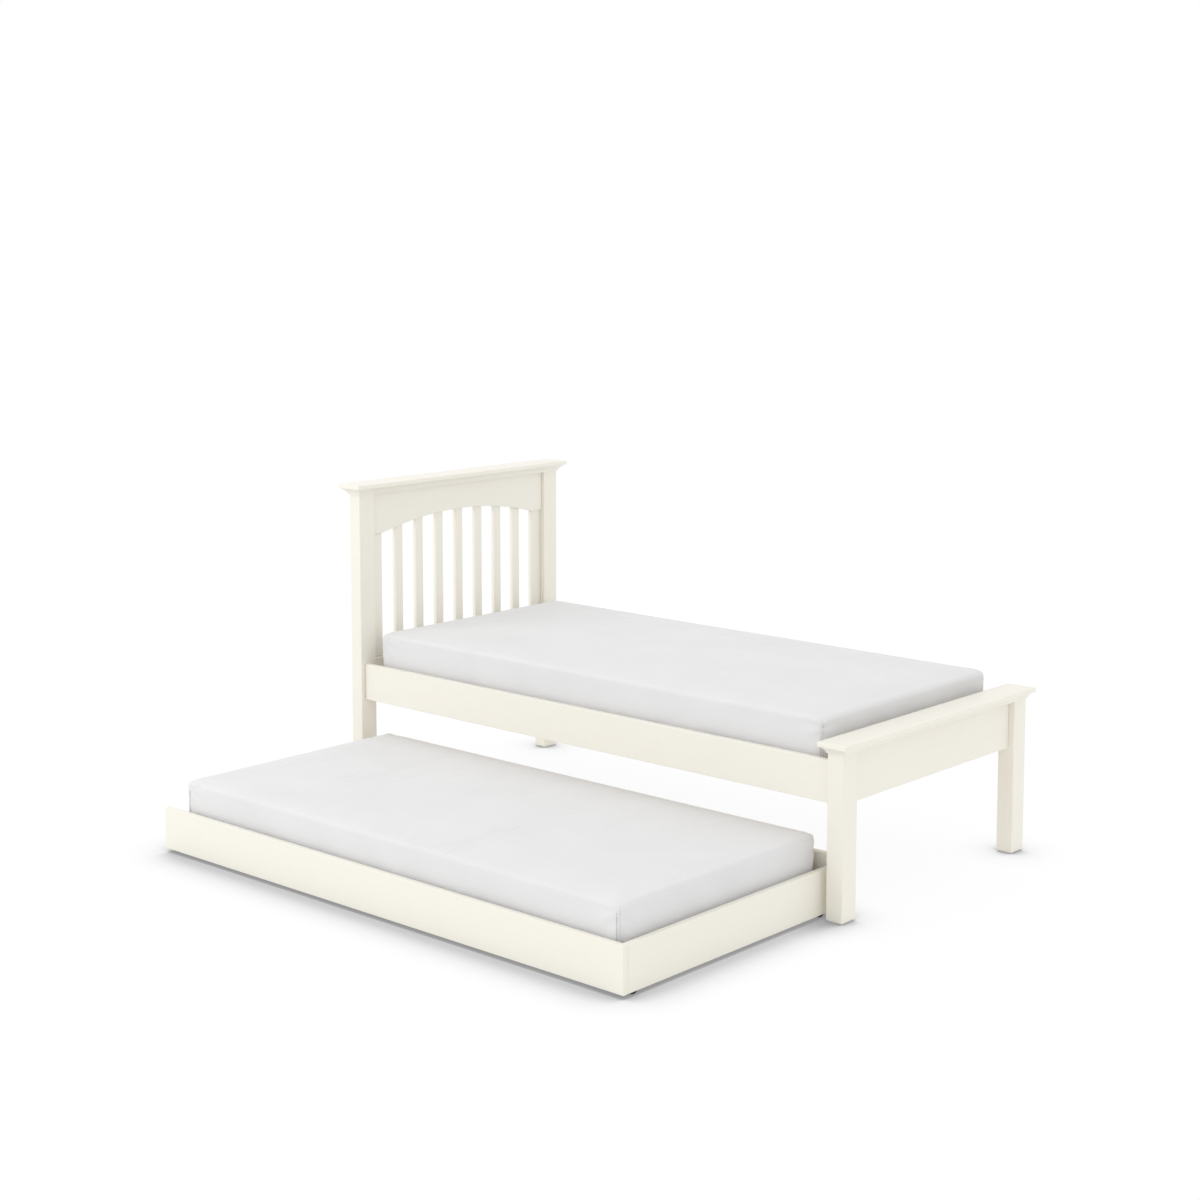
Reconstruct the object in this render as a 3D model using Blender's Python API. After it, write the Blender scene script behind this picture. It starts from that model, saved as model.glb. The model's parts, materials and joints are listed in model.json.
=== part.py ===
# Single bed with a slatted headboard, a low footboard and a trundle that rolls out from under it.
# The bed lies along X with its head towards -X, and the trundle comes out towards -Y.
# Lengths are in metres. The origin is on the floor, under the middle of the whole object.

import math

import bmesh
import bpy
from mathutils import Vector

# Fits
TOUCH_GAP = 0.0003  # between faces that are fixed to each other or rest on each other
SLAT_END_PLAY = 0.004  # between a slat's end and the board beside it

# Bed frame, outside sizes
BED_LENGTH = 2.050  # over the posts, along X
BED_WIDTH = 0.970  # over the posts, along Y
HEAD_HEIGHT = 1.075  # floor to the top of the headboard's cap
FOOT_HEIGHT = 0.517  # floor to the top of the footboard's cap
UNDER_HEIGHT = 0.337  # floor to the underside of the rails

# Posts
HEAD_POST_X = 0.050
HEAD_POST_Y = 0.067
FOOT_POST_X = 0.056
FOOT_POST_Y = 0.067
POST_EDGE = 0.003  # radius of a post's upright edges
POST_CHAMFER = 0.006  # bevel round a post's foot
POST_CORNER_STEPS = 3

# Moulded caps
HEAD_CAP_HEIGHT = 0.037
HEAD_CAP_OVERHANG = 0.028
FOOT_CAP_HEIGHT = 0.032
FOOT_CAP_OVERHANG = 0.022
CAP_SLAB = 0.014  # square edge above the cove
CAP_EDGE = 0.003  # rounding of the square edge
CAP_QUIRK = 0.003  # step between the square edge and the cove
CAP_FOOT = 0.004  # how far the cove's foot stands out from the post
CAP_HOLLOW = 0.4  # 0 is a flat slope, 1 a quarter circle
COVE_STEPS = 6
CAP_EDGE_STEPS = 3
CAP_CORNER_STEPS = 2
CAP_FILLET = 0.003  # upright band under the cove

# Headboard
HEAD_RAIL_SETBACK = 0.012  # top rail's face behind the posts' faces
HEAD_RAIL_THICK = 0.025
HEAD_RAIL_DEPTH = 0.140  # at its ends, below the cap
ARCH_RISE = 0.048
ARCH_STEPS = 28
HEAD_LOW_RAIL_HEIGHT = 0.133
HEAD_SLAT_COUNT = 7
HEAD_SLAT_WIDTH = 0.034
HEAD_SLAT_SETBACK = 0.020  # slats' faces behind the posts' faces
HEAD_SLAT_THICK = 0.015
SLAT_TOP_STEPS = 4  # across a head slat's curved top
STILE_WIDTH = 0.050

# Footboard
FOOT_PANEL_SETBACK = 0.020  # behind the posts' outer faces
FOOT_PANEL_THICK = 0.020
FOOT_PANEL_DROP = 0.002  # panel's lower edge below the side rails' lower edge

# Side rails and mattress base
RAIL_INSET = 0.0155  # rail's face behind the posts' faces
RAIL_THICK = 0.020
RAIL_HEIGHT = 0.122
BASE_HEIGHT = 0.084  # rails' underside to the top of the slats
SLAT_COUNT = 10
SLAT_WIDTH = 0.068
SLAT_THICK = 0.018
SLAT_END_MARGIN = 0.022  # first slat's edge from the posts
LEDGER_WIDTH = 0.025
LEDGER_HEIGHT = 0.028
BRACKET_LEG = 0.050  # along the rail
BRACKET_HEIGHT = 0.050
BRACKET_THICK = 0.003
BRACKET_LIFT = 0.012  # bracket's lower edge above the rail's underside
BRACKET_MARGIN = 0.003  # bracket's edge inside the post's side

# Mattresses and their fitted sheets
MATTRESS_THICK = 0.146
MATTRESS_CORNER = 0.040  # radius in plan
MATTRESS_EDGE = 0.024  # radius of the top and bottom edges
SHEET_THICK = 0.0015
SHEET_HEM = 0.050  # turned under the mattress
HEM_CORNER = 0.004  # least corner radius of the turned-under hem
PAD_EDGE_STEPS = 5
PAD_CORNER_STEPS = 6
BED_MATTRESS_HEAD_GAP = 0.037
BED_MATTRESS_FOOT_GAP = 0.046
BED_MATTRESS_SIDE_GAP = 0.010
TRUNDLE_MATTRESS_HEAD_GAP = 0.051
TRUNDLE_MATTRESS_FOOT_GAP = 0.008
TRUNDLE_MATTRESS_FRONT_GAP = 0.004
TRUNDLE_MATTRESS_BACK_GAP = 0.0135

# Trundle
TRUNDLE_PULL = 0.8535  # from shut, where its front lines up with the side rail
TRUNDLE_POST_PLAY = 0.0195  # beside the posts, each end
TRUNDLE_BACK_PLAY = 0.0435  # behind it when shut, inside the back posts' faces
TRUNDLE_LIFT = 0.012  # floor to the boards
TRUNDLE_HEIGHT = 0.131
TRUNDLE_BACK_HEIGHT = 0.165
TRUNDLE_HEAD_HEIGHT = 0.100  # its end board towards the bed's head
TRUNDLE_BOARD = 0.018
TRUNDLE_END_STEP = 0.0005  # end boards inside the front board's ends
TRUNDLE_LEDGER_WIDTH = 0.035
TRUNDLE_LEDGER_HEIGHT = 0.026
TRUNDLE_SLAT_COUNT = 6
TRUNDLE_SLAT_WIDTH = 0.095
TRUNDLE_SLAT_THICK = 0.015
TRUNDLE_SLAT_MARGIN = 0.060

# Castors
WHEEL_RADIUS = 0.020
WHEEL_WIDTH = 0.016
WHEEL_EDGE = 0.003
WHEEL_EDGE_STEPS = 3
WHEEL_SIDES = 32
AXLE_RADIUS = 0.003
AXLE_SIDES = 24
AXLE_PLAY = 0.0004  # between the axle and the wheel's bore
FORK_PLAY = 0.001  # between a cheek and the wheel
CHEEK_THICK = 0.0025
CHEEK_WIDTH = 0.026
CHEEK_DROP = 0.006  # below the axle's centre
PLATE_THICK = 0.004
PLATE_LENGTH = 0.056
PLATE_MARGIN = 0.010  # plate beyond the inner cheek
PLATE_CLEARANCE = 0.0055  # wheel to plate
CASTOR_SETBACK = 0.053  # wheel's centre from the box's outer face
CASTOR_SIDE_GAP = 0.001  # bracket to the end board
HOUSING_DEPTH = 0.013  # cut into an end board's inner face for each castor
HOUSING_PLAY = 0.002  # round the castor's plate

BOARD_EDGE = 0.002
BEVEL_LIMIT = 40  # degrees between faces, above which an edge is softened
BEVEL_SEGMENTS = 2
SLAT_EDGE = 0.0015

# Degrees between faces, above which a smooth surface has a sharp line
CAP_SHARP = 25
ROUND_SHARP = 35
PAD_SHARP = 50

# Places worked out from the sizes, measured from the head posts' outer face and the front posts' face
ORIGIN_X = (BED_LENGTH + FOOT_CAP_OVERHANG - HEAD_CAP_OVERHANG) / 2
ORIGIN_Y = (RAIL_INSET - TRUNDLE_PULL + BED_WIDTH + HEAD_CAP_OVERHANG) / 2
MIDDLE_Y = BED_WIDTH / 2
HEAD_POST_TOP = HEAD_HEIGHT - HEAD_CAP_HEIGHT
FOOT_POST_TOP = FOOT_HEIGHT - FOOT_CAP_HEIGHT
INNER_HEAD = HEAD_POST_X
INNER_FOOT = BED_LENGTH - FOOT_POST_X
RAIL_INNER_FRONT = RAIL_INSET + RAIL_THICK
RAIL_INNER_BACK = BED_WIDTH - RAIL_INNER_FRONT
SLAT_TOP = UNDER_HEIGHT + BASE_HEIGHT
ARCH_SPAN = BED_WIDTH - 2 * HEAD_POST_Y - 2 * STILE_WIDTH
ARCH_SHOULDER = HEAD_POST_TOP - HEAD_RAIL_DEPTH
COVER = TOUCH_GAP + SHEET_THICK  # how far a fitted sheet stands proud of its mattress


def make_material(name, colour, roughness, metallic=0.0):
    material = bpy.data.materials.new(name)
    material.use_nodes = True
    shader = material.node_tree.nodes["Principled BSDF"]
    shader.inputs["Base Color"].default_value = (*colour, 1.0)
    shader.inputs["Roughness"].default_value = roughness
    shader.inputs["Metallic"].default_value = metallic
    return material


def make_empty(name, location):
    empty = bpy.data.objects.new(name, None)
    empty.location = location
    bpy.context.collection.objects.link(empty)
    return empty


def add_object(name, mesh, material, parent, location):
    """An object that shows the mesh at a place under its parent, in its own copy of the material."""
    if not mesh.materials:
        mesh.materials.append(None)
    part = bpy.data.objects.new(name, mesh)
    part.location = location
    part.parent = parent
    part.material_slots[0].link = "OBJECT"
    part.material_slots[0].material = material.copy()
    part.material_slots[0].material.name = name + "_finish"
    bpy.context.collection.objects.link(part)
    return part


def finish_mesh(name, shape, smooth_degrees=None):
    """Turn a bmesh into a mesh whose faces point out."""
    bmesh.ops.recalc_face_normals(shape, faces=shape.faces)
    mesh = bpy.data.meshes.new(name)
    shape.to_mesh(mesh)
    shape.free()
    if smooth_degrees is not None:
        mesh.shade_smooth()
        mesh.set_sharp_from_angle(angle=math.radians(smooth_degrees))
    return mesh


def soften(part, width):
    bevel = part.modifiers.new("soft_edges", "BEVEL")
    bevel.width = width
    bevel.segments = BEVEL_SEGMENTS
    bevel.limit_method = "ANGLE"
    bevel.angle_limit = math.radians(BEVEL_LIMIT)


def combined_mesh(name, base, others, operation):
    """The mesh that is left when the other objects are joined to the base or cut from it."""
    for item in (base, *others):
        bpy.context.collection.objects.link(item)
    for other in others:
        boolean = base.modifiers.new("with_" + other.name, "BOOLEAN")
        boolean.operation = operation
        boolean.object = other
    mesh = bpy.data.meshes.new_from_object(base.evaluated_get(bpy.context.evaluated_depsgraph_get()))
    mesh.name = name
    for item in (base, *others):
        bpy.data.objects.remove(item)
    return mesh


def box_object(name, low, high):
    """A plain box between two opposite corners, not yet in the scene."""
    shape = bmesh.new()
    bmesh.ops.create_cube(shape, size=1.0)
    bmesh.ops.scale(shape, vec=high - low, verts=shape.verts)
    bmesh.ops.translate(shape, vec=(low + high) / 2, verts=shape.verts)
    return bpy.data.objects.new(name, finish_mesh(name, shape))


def make_board(name, low, high, material, parent, edge=BOARD_EDGE):
    """A board between two opposite corners, with softened edges."""
    low = Vector(low)
    high = Vector(high)
    shape = bmesh.new()
    bmesh.ops.create_cube(shape, size=1.0)
    bmesh.ops.scale(shape, vec=high - low, verts=shape.verts)
    part = add_object(name, finish_mesh(name, shape), material, parent, (low + high) / 2)
    soften(part, edge)
    return part


def rounded_rectangle(half_x, half_y, radius, z, steps):
    """Points of a rectangle about the Z axis, counter-clockwise from above."""
    corners = ((1, -1, -90), (1, 1, 0), (-1, 1, 90), (-1, -1, 180))
    points = []
    for side_x, side_y, start in corners:
        for step in range(steps + 1):
            angle = math.radians(start + 90 * step / steps)
            x = side_x * (half_x - radius) + radius * math.cos(angle)
            y = side_y * (half_y - radius) + radius * math.sin(angle)
            points.append(Vector((x, y, z)))
    return points


def loft_mesh(name, rings, smooth_degrees=None):
    """Skin the rings in order and close both ends."""
    shape = bmesh.new()
    loops = [[shape.verts.new(point) for point in ring] for ring in rings]
    for lower, upper in zip(loops, loops[1:]):
        for index in range(len(lower)):
            after = (index + 1) % len(lower)
            shape.faces.new((lower[index], lower[after], upper[after], upper[index]))
    shape.faces.new(list(reversed(loops[0])))
    shape.faces.new(loops[-1])
    return finish_mesh(name, shape, smooth_degrees)


def prism_mesh(name, outline, depth, along):
    """Extrude an outline by a depth, centred on the outline's plane.

    The outline holds (y, z) along X, (x, z) along Y and (x, y) along Z.
    """
    places = {"X": (1, 2, 0), "Y": (0, 2, 1), "Z": (0, 1, 2)}
    first, second, third = places[along]
    shape = bmesh.new()
    corners = []
    for across, up in outline:
        point = [0.0, 0.0, 0.0]
        point[first] = across
        point[second] = up
        point[third] = -depth / 2
        corners.append(shape.verts.new(point))
    face = shape.faces.new(corners)
    shift = [0.0, 0.0, 0.0]
    shift[third] = depth
    pushed = bmesh.ops.extrude_face_region(shape, geom=[face])
    verts = [item for item in pushed["geom"] if isinstance(item, bmesh.types.BMVert)]
    bmesh.ops.translate(shape, vec=shift, verts=verts)
    return finish_mesh(name, shape)


def turned_mesh(name, profile, steps):
    """Turn a closed profile of (x, radius) points about the X axis."""
    shape = bmesh.new()
    loops = []
    for step in range(steps):
        angle = 2 * math.pi * step / steps
        ring = [
            shape.verts.new((x, radius * math.cos(angle), radius * math.sin(angle)))
            for x, radius in profile
        ]
        loops.append(ring)
    for step in range(steps):
        here = loops[step]
        there = loops[(step + 1) % steps]
        for index in range(len(profile)):
            after = (index + 1) % len(profile)
            shape.faces.new((here[index], here[after], there[after], there[index]))
    return finish_mesh(name, shape, ROUND_SHARP)


def arch_height(across):
    """Lower edge of the headboard's top rail, at a distance from the bed's middle."""
    half = ARCH_SPAN / 2
    if abs(across) >= half:
        return ARCH_SHOULDER
    radius = (half**2 + ARCH_RISE**2) / (2 * ARCH_RISE)
    return ARCH_SHOULDER + ARCH_RISE - radius + math.sqrt(radius**2 - across**2)


def make_post(name, size_x, size_y, height, centre_x, centre_y, material, parent):
    half_x = size_x / 2
    half_y = size_y / 2
    levels = ((POST_CHAMFER, 0.0), (0.0, POST_CHAMFER), (0.0, height))
    rings = [
        rounded_rectangle(half_x - inset, half_y - inset, POST_EDGE, z, POST_CORNER_STEPS)
        for inset, z in levels
    ]
    mesh = loft_mesh(name, rings, ROUND_SHARP)
    return add_object(name, mesh, material, parent, (centre_x, centre_y, 0.0))


def cap_profile(height, overhang):
    """(overhang, height) points of a cap's moulding, from the cove's foot up."""
    cove_out = overhang - CAP_QUIRK
    cove_low = CAP_FILLET
    cove_high = height - CAP_SLAB
    points = [(CAP_FOOT, 0.0)]
    for step in range(COVE_STEPS + 1):
        share = step / COVE_STEPS
        angle = math.radians(90 * share)
        out = CAP_HOLLOW * (1 - math.cos(angle)) + (1 - CAP_HOLLOW) * share
        up = CAP_HOLLOW * math.sin(angle) + (1 - CAP_HOLLOW) * share
        points.append((CAP_FOOT + (cove_out - CAP_FOOT) * out, cove_low + (cove_high - cove_low) * up))
    points.append((overhang - CAP_EDGE / 3, cove_high + CAP_EDGE / 6))
    points.append((overhang, cove_high + CAP_EDGE / 2))
    for step in range(CAP_EDGE_STEPS + 1):
        angle = math.radians(90 * step / CAP_EDGE_STEPS)
        reach = overhang - CAP_EDGE + CAP_EDGE * math.cos(angle)
        points.append((reach, height - CAP_EDGE + CAP_EDGE * math.sin(angle)))
    return points


def make_cap(name, low_x, high_x, top, height, overhang, material, parent):
    """A moulded cap over two posts and what stands between them."""
    half_x = (high_x - low_x) / 2
    half_y = BED_WIDTH / 2
    rings = [
        rounded_rectangle(half_x + reach, half_y + reach, CAP_EDGE, z, CAP_CORNER_STEPS)
        for reach, z in cap_profile(height - TOUCH_GAP, overhang)
    ]
    centre = ((low_x + high_x) / 2, MIDDLE_Y, top - height + TOUCH_GAP)
    return add_object(name, loft_mesh(name, rings, CAP_SHARP), material, parent, centre)


def pad_rings(half_x, half_y, low, high, grow, under):
    """Rings of a pad with round edges, grown all over, from the turned-under edge up."""
    corner = MATTRESS_CORNER + grow
    edge = MATTRESS_EDGE + grow
    rings = []
    if under:
        inset = under + edge
        rings.append(rounded_rectangle(
            half_x + grow - inset, half_y + grow - inset, max(corner - inset, HEM_CORNER), low - grow,
            PAD_CORNER_STEPS))
    for step in range(PAD_EDGE_STEPS + 1):
        angle = math.radians(90 * step / PAD_EDGE_STEPS)
        inset = edge * (1 - math.sin(angle))
        z = low - grow + edge * (1 - math.cos(angle))
        rings.append(rounded_rectangle(
            half_x + grow - inset, half_y + grow - inset, corner - inset, z, PAD_CORNER_STEPS))
    for step in range(PAD_EDGE_STEPS + 1):
        angle = math.radians(90 * step / PAD_EDGE_STEPS)
        inset = edge * (1 - math.cos(angle))
        z = high + grow - edge * (1 - math.sin(angle))
        rings.append(rounded_rectangle(
            half_x + grow - inset, half_y + grow - inset, corner - inset, z, PAD_CORNER_STEPS))
    return rings


def make_mattress(prefix, low_x, high_x, low_y, high_y, base, finishes, parent):
    """A mattress and its fitted sheet; the sizes are those over the sheet."""
    half_x = (high_x - low_x) / 2 - COVER
    half_y = (high_y - low_y) / 2 - COVER
    centre = ((low_x + high_x) / 2, (low_y + high_y) / 2, base + TOUCH_GAP + COVER)
    rings = pad_rings(half_x, half_y, 0.0, MATTRESS_THICK, 0.0, 0.0)
    mesh = loft_mesh(prefix + "_mattress", rings, PAD_SHARP)
    add_object(prefix + "_mattress", mesh, finishes["ticking"], parent, centre)
    inner = pad_rings(half_x, half_y, 0.0, MATTRESS_THICK, TOUCH_GAP, SHEET_HEM)
    outer = pad_rings(half_x, half_y, 0.0, MATTRESS_THICK, COVER, SHEET_HEM)
    mesh = loft_mesh(prefix + "_fitted_sheet", list(reversed(inner)) + outer, PAD_SHARP)
    add_object(prefix + "_fitted_sheet", mesh, finishes["sheet"], parent, centre)


def spread(count, width, low, high):
    """Low edges of equal pieces spread between two ends."""
    pitch = (high - low - width) / (count - 1)
    return [low + pitch * index for index in range(count)]


def make_headboard(finishes, parent):
    paint = finishes["paint"]
    post_centre = HEAD_POST_X / 2
    for side, y in (("front", HEAD_POST_Y / 2), ("back", BED_WIDTH - HEAD_POST_Y / 2)):
        name = "head_post_" + side
        make_post(name, HEAD_POST_X, HEAD_POST_Y, HEAD_POST_TOP, post_centre, y, paint, parent)
    make_cap("head_cap", 0.0, HEAD_POST_X, HEAD_HEIGHT, HEAD_CAP_HEIGHT, HEAD_CAP_OVERHANG, paint, parent)

    rail_high_x = HEAD_POST_X - HEAD_RAIL_SETBACK
    rail_low_x = rail_high_x - HEAD_RAIL_THICK
    half_span = MIDDLE_Y - HEAD_POST_Y - TOUCH_GAP
    outline = [(-half_span, ARCH_SHOULDER)]
    for step in range(ARCH_STEPS + 1):
        across = ARCH_SPAN * (step / ARCH_STEPS - 0.5)
        outline.append((across, arch_height(across)))
    outline.append((half_span, ARCH_SHOULDER))
    outline.append((half_span, HEAD_POST_TOP - TOUCH_GAP))
    outline.append((-half_span, HEAD_POST_TOP - TOUCH_GAP))
    mesh = prism_mesh("head_top_rail", outline, HEAD_RAIL_THICK, "X")
    centre = ((rail_low_x + rail_high_x) / 2, MIDDLE_Y, 0.0)
    soften(add_object("head_top_rail", mesh, paint, parent, centre), BOARD_EDGE)

    low_rail_top = UNDER_HEIGHT + HEAD_LOW_RAIL_HEIGHT
    make_board(
        "head_lower_rail",
        (rail_low_x, HEAD_POST_Y + TOUCH_GAP, UNDER_HEIGHT),
        (rail_high_x, BED_WIDTH - HEAD_POST_Y - TOUCH_GAP, low_rail_top),
        paint, parent)

    slat_high_x = HEAD_POST_X - HEAD_SLAT_SETBACK
    slat_centre_x = slat_high_x - HEAD_SLAT_THICK / 2
    slat_bottom = low_rail_top + TOUCH_GAP
    for side, low_y in (("front", HEAD_POST_Y), ("back", BED_WIDTH - HEAD_POST_Y - STILE_WIDTH)):
        make_board(
            "head_stile_" + side,
            (slat_high_x - HEAD_SLAT_THICK, low_y + TOUCH_GAP, slat_bottom),
            (slat_high_x, low_y + STILE_WIDTH - TOUCH_GAP, ARCH_SHOULDER - TOUCH_GAP),
            paint, parent)

    gap = (ARCH_SPAN - HEAD_SLAT_COUNT * HEAD_SLAT_WIDTH) / (HEAD_SLAT_COUNT + 1)
    for index in range(HEAD_SLAT_COUNT):
        name = f"head_slat_{index + 1}"
        low = -ARCH_SPAN / 2 + gap + index * (HEAD_SLAT_WIDTH + gap)
        outline = [(low, slat_bottom), (low + HEAD_SLAT_WIDTH, slat_bottom)]
        for step in range(SLAT_TOP_STEPS + 1):
            across = low + HEAD_SLAT_WIDTH * (1 - step / SLAT_TOP_STEPS)
            outline.append((across, arch_height(across) - TOUCH_GAP))
        mesh = prism_mesh(name, outline, HEAD_SLAT_THICK, "X")
        part = add_object(name, mesh, paint, parent, (slat_centre_x, MIDDLE_Y, 0.0))
        soften(part, SLAT_EDGE)


def make_footboard(finishes, parent):
    paint = finishes["paint"]
    post_centre = BED_LENGTH - FOOT_POST_X / 2
    for side, y in (("front", FOOT_POST_Y / 2), ("back", BED_WIDTH - FOOT_POST_Y / 2)):
        name = "foot_post_" + side
        make_post(name, FOOT_POST_X, FOOT_POST_Y, FOOT_POST_TOP, post_centre, y, paint, parent)
    make_cap(
        "foot_cap", INNER_FOOT, BED_LENGTH, FOOT_HEIGHT, FOOT_CAP_HEIGHT, FOOT_CAP_OVERHANG, paint, parent)
    panel_high_x = BED_LENGTH - FOOT_PANEL_SETBACK
    make_board(
        "foot_panel",
        (panel_high_x - FOOT_PANEL_THICK, FOOT_POST_Y + TOUCH_GAP, UNDER_HEIGHT - FOOT_PANEL_DROP),
        (panel_high_x, BED_WIDTH - FOOT_POST_Y - TOUCH_GAP, FOOT_POST_TOP - TOUCH_GAP),
        paint, parent)


def make_corner_bracket(name, corner_x, corner_y, into_x, into_y, leg_y, material, parent):
    """A steel angle in the corner between a rail's inner face and a post."""
    near = TOUCH_GAP
    far = TOUCH_GAP + BRACKET_THICK
    outline = [
        (near, near), (BRACKET_LEG, near), (BRACKET_LEG, far), (far, far), (far, leg_y), (near, leg_y)]
    outline = [(into_x * x, into_y * y) for x, y in outline]
    mesh = prism_mesh(name, outline, BRACKET_HEIGHT, "Z")
    centre = (corner_x, corner_y, UNDER_HEIGHT + BRACKET_LIFT + BRACKET_HEIGHT / 2)
    add_object(name, mesh, material, parent, centre)


def make_sides(finishes, parent):
    paint = finishes["paint"]
    pine = finishes["pine"]
    steel = finishes["steel"]
    rail_top = UNDER_HEIGHT + RAIL_HEIGHT
    ledger_top = SLAT_TOP - SLAT_THICK - TOUCH_GAP
    ledger_end = BRACKET_LEG + SLAT_END_PLAY
    ledger_depth = LEDGER_WIDTH + TOUCH_GAP
    sides = (
        ("front", RAIL_INSET, RAIL_INNER_FRONT + TOUCH_GAP, RAIL_INNER_FRONT, 1),
        ("back", RAIL_INNER_BACK, RAIL_INNER_BACK - ledger_depth, RAIL_INNER_BACK, -1),
    )
    for side, rail_y, ledger_y, inner_y, into_y in sides:
        make_board(
            "side_rail_" + side,
            (INNER_HEAD + TOUCH_GAP, rail_y, UNDER_HEIGHT),
            (INNER_FOOT - TOUCH_GAP, rail_y + RAIL_THICK, rail_top),
            paint, parent)
        make_board(
            "slat_ledger_" + side,
            (INNER_HEAD + ledger_end, ledger_y, ledger_top - LEDGER_HEIGHT),
            (INNER_FOOT - ledger_end, ledger_y + LEDGER_WIDTH, ledger_top),
            pine, parent, SLAT_EDGE)
        for end, corner_x, into_x, post_y in (
            ("head", INNER_HEAD, 1, HEAD_POST_Y),
            ("foot", INNER_FOOT, -1, FOOT_POST_Y),
        ):
            leg = post_y - RAIL_INNER_FRONT - BRACKET_MARGIN
            name = f"corner_bracket_{side}_{end}"
            make_corner_bracket(name, corner_x, inner_y, into_x, into_y, leg, steel, parent)
    low = INNER_HEAD + SLAT_END_MARGIN
    high = INNER_FOOT - SLAT_END_MARGIN
    for index, x in enumerate(spread(SLAT_COUNT, SLAT_WIDTH, low, high)):
        make_board(
            f"bed_slat_{index + 1:02d}",
            (x, RAIL_INNER_FRONT + SLAT_END_PLAY, SLAT_TOP - SLAT_THICK),
            (x + SLAT_WIDTH, RAIL_INNER_BACK - SLAT_END_PLAY, SLAT_TOP),
            pine, parent, SLAT_EDGE)
    make_mattress(
        "bed",
        INNER_HEAD + BED_MATTRESS_HEAD_GAP, INNER_FOOT - BED_MATTRESS_FOOT_GAP,
        RAIL_INNER_FRONT + BED_MATTRESS_SIDE_GAP, RAIL_INNER_BACK - BED_MATTRESS_SIDE_GAP,
        SLAT_TOP, finishes, parent)


def castor_bracket_mesh(inward):
    """Plate, two cheeks and axle in one piece, about the axle's centre.

    Inward is 1 or -1, the way along X in which the plate is wider.
    """
    half_inside = WHEEL_WIDTH / 2 + FORK_PLAY
    half_outside = half_inside + CHEEK_THICK
    top = WHEEL_RADIUS + PLATE_CLEARANCE + PLATE_THICK
    under = top - PLATE_THICK
    outline = [
        (-half_outside, -CHEEK_DROP), (-half_inside, -CHEEK_DROP), (-half_inside, under),
        (half_inside, under), (half_inside, -CHEEK_DROP), (half_outside, -CHEEK_DROP),
        (half_outside, top), (-half_outside, top)]
    fork = bpy.data.objects.new("fork", prism_mesh("fork", outline, CHEEK_WIDTH, "Y"))

    shape = bmesh.new()
    bmesh.ops.create_cube(shape, size=1.0)
    plate_size = (2 * half_outside + PLATE_MARGIN, PLATE_LENGTH, PLATE_THICK)
    plate_centre = (inward * PLATE_MARGIN / 2, 0.0, top - PLATE_THICK / 2)
    bmesh.ops.scale(shape, vec=plate_size, verts=shape.verts)
    bmesh.ops.translate(shape, vec=plate_centre, verts=shape.verts)
    plate = bpy.data.objects.new("plate", finish_mesh("plate", shape))

    circle = [2 * math.pi * step / AXLE_SIDES for step in range(AXLE_SIDES)]
    outline = [(AXLE_RADIUS * math.cos(a), AXLE_RADIUS * math.sin(a)) for a in circle]
    axle = bpy.data.objects.new("axle", prism_mesh("axle", outline, half_inside + half_outside, "X"))

    return combined_mesh("castor_bracket", fork, (plate, axle), "UNION")


def wheel_mesh():
    """Wheel with a bore for the axle, about its own centre."""
    half = WHEEL_WIDTH / 2
    bore = AXLE_RADIUS + AXLE_PLAY
    profile = [(-half, bore), (half, bore)]
    for start, side in ((0, 1), (90, -1)):
        for step in range(WHEEL_EDGE_STEPS + 1):
            angle = math.radians(start + 90 * step / WHEEL_EDGE_STEPS)
            x = side * (half - WHEEL_EDGE) + WHEEL_EDGE * math.cos(angle)
            profile.append((x, WHEEL_RADIUS - WHEEL_EDGE + WHEEL_EDGE * math.sin(angle)))
    return turned_mesh("castor_wheel", profile, WHEEL_SIDES)


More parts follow.
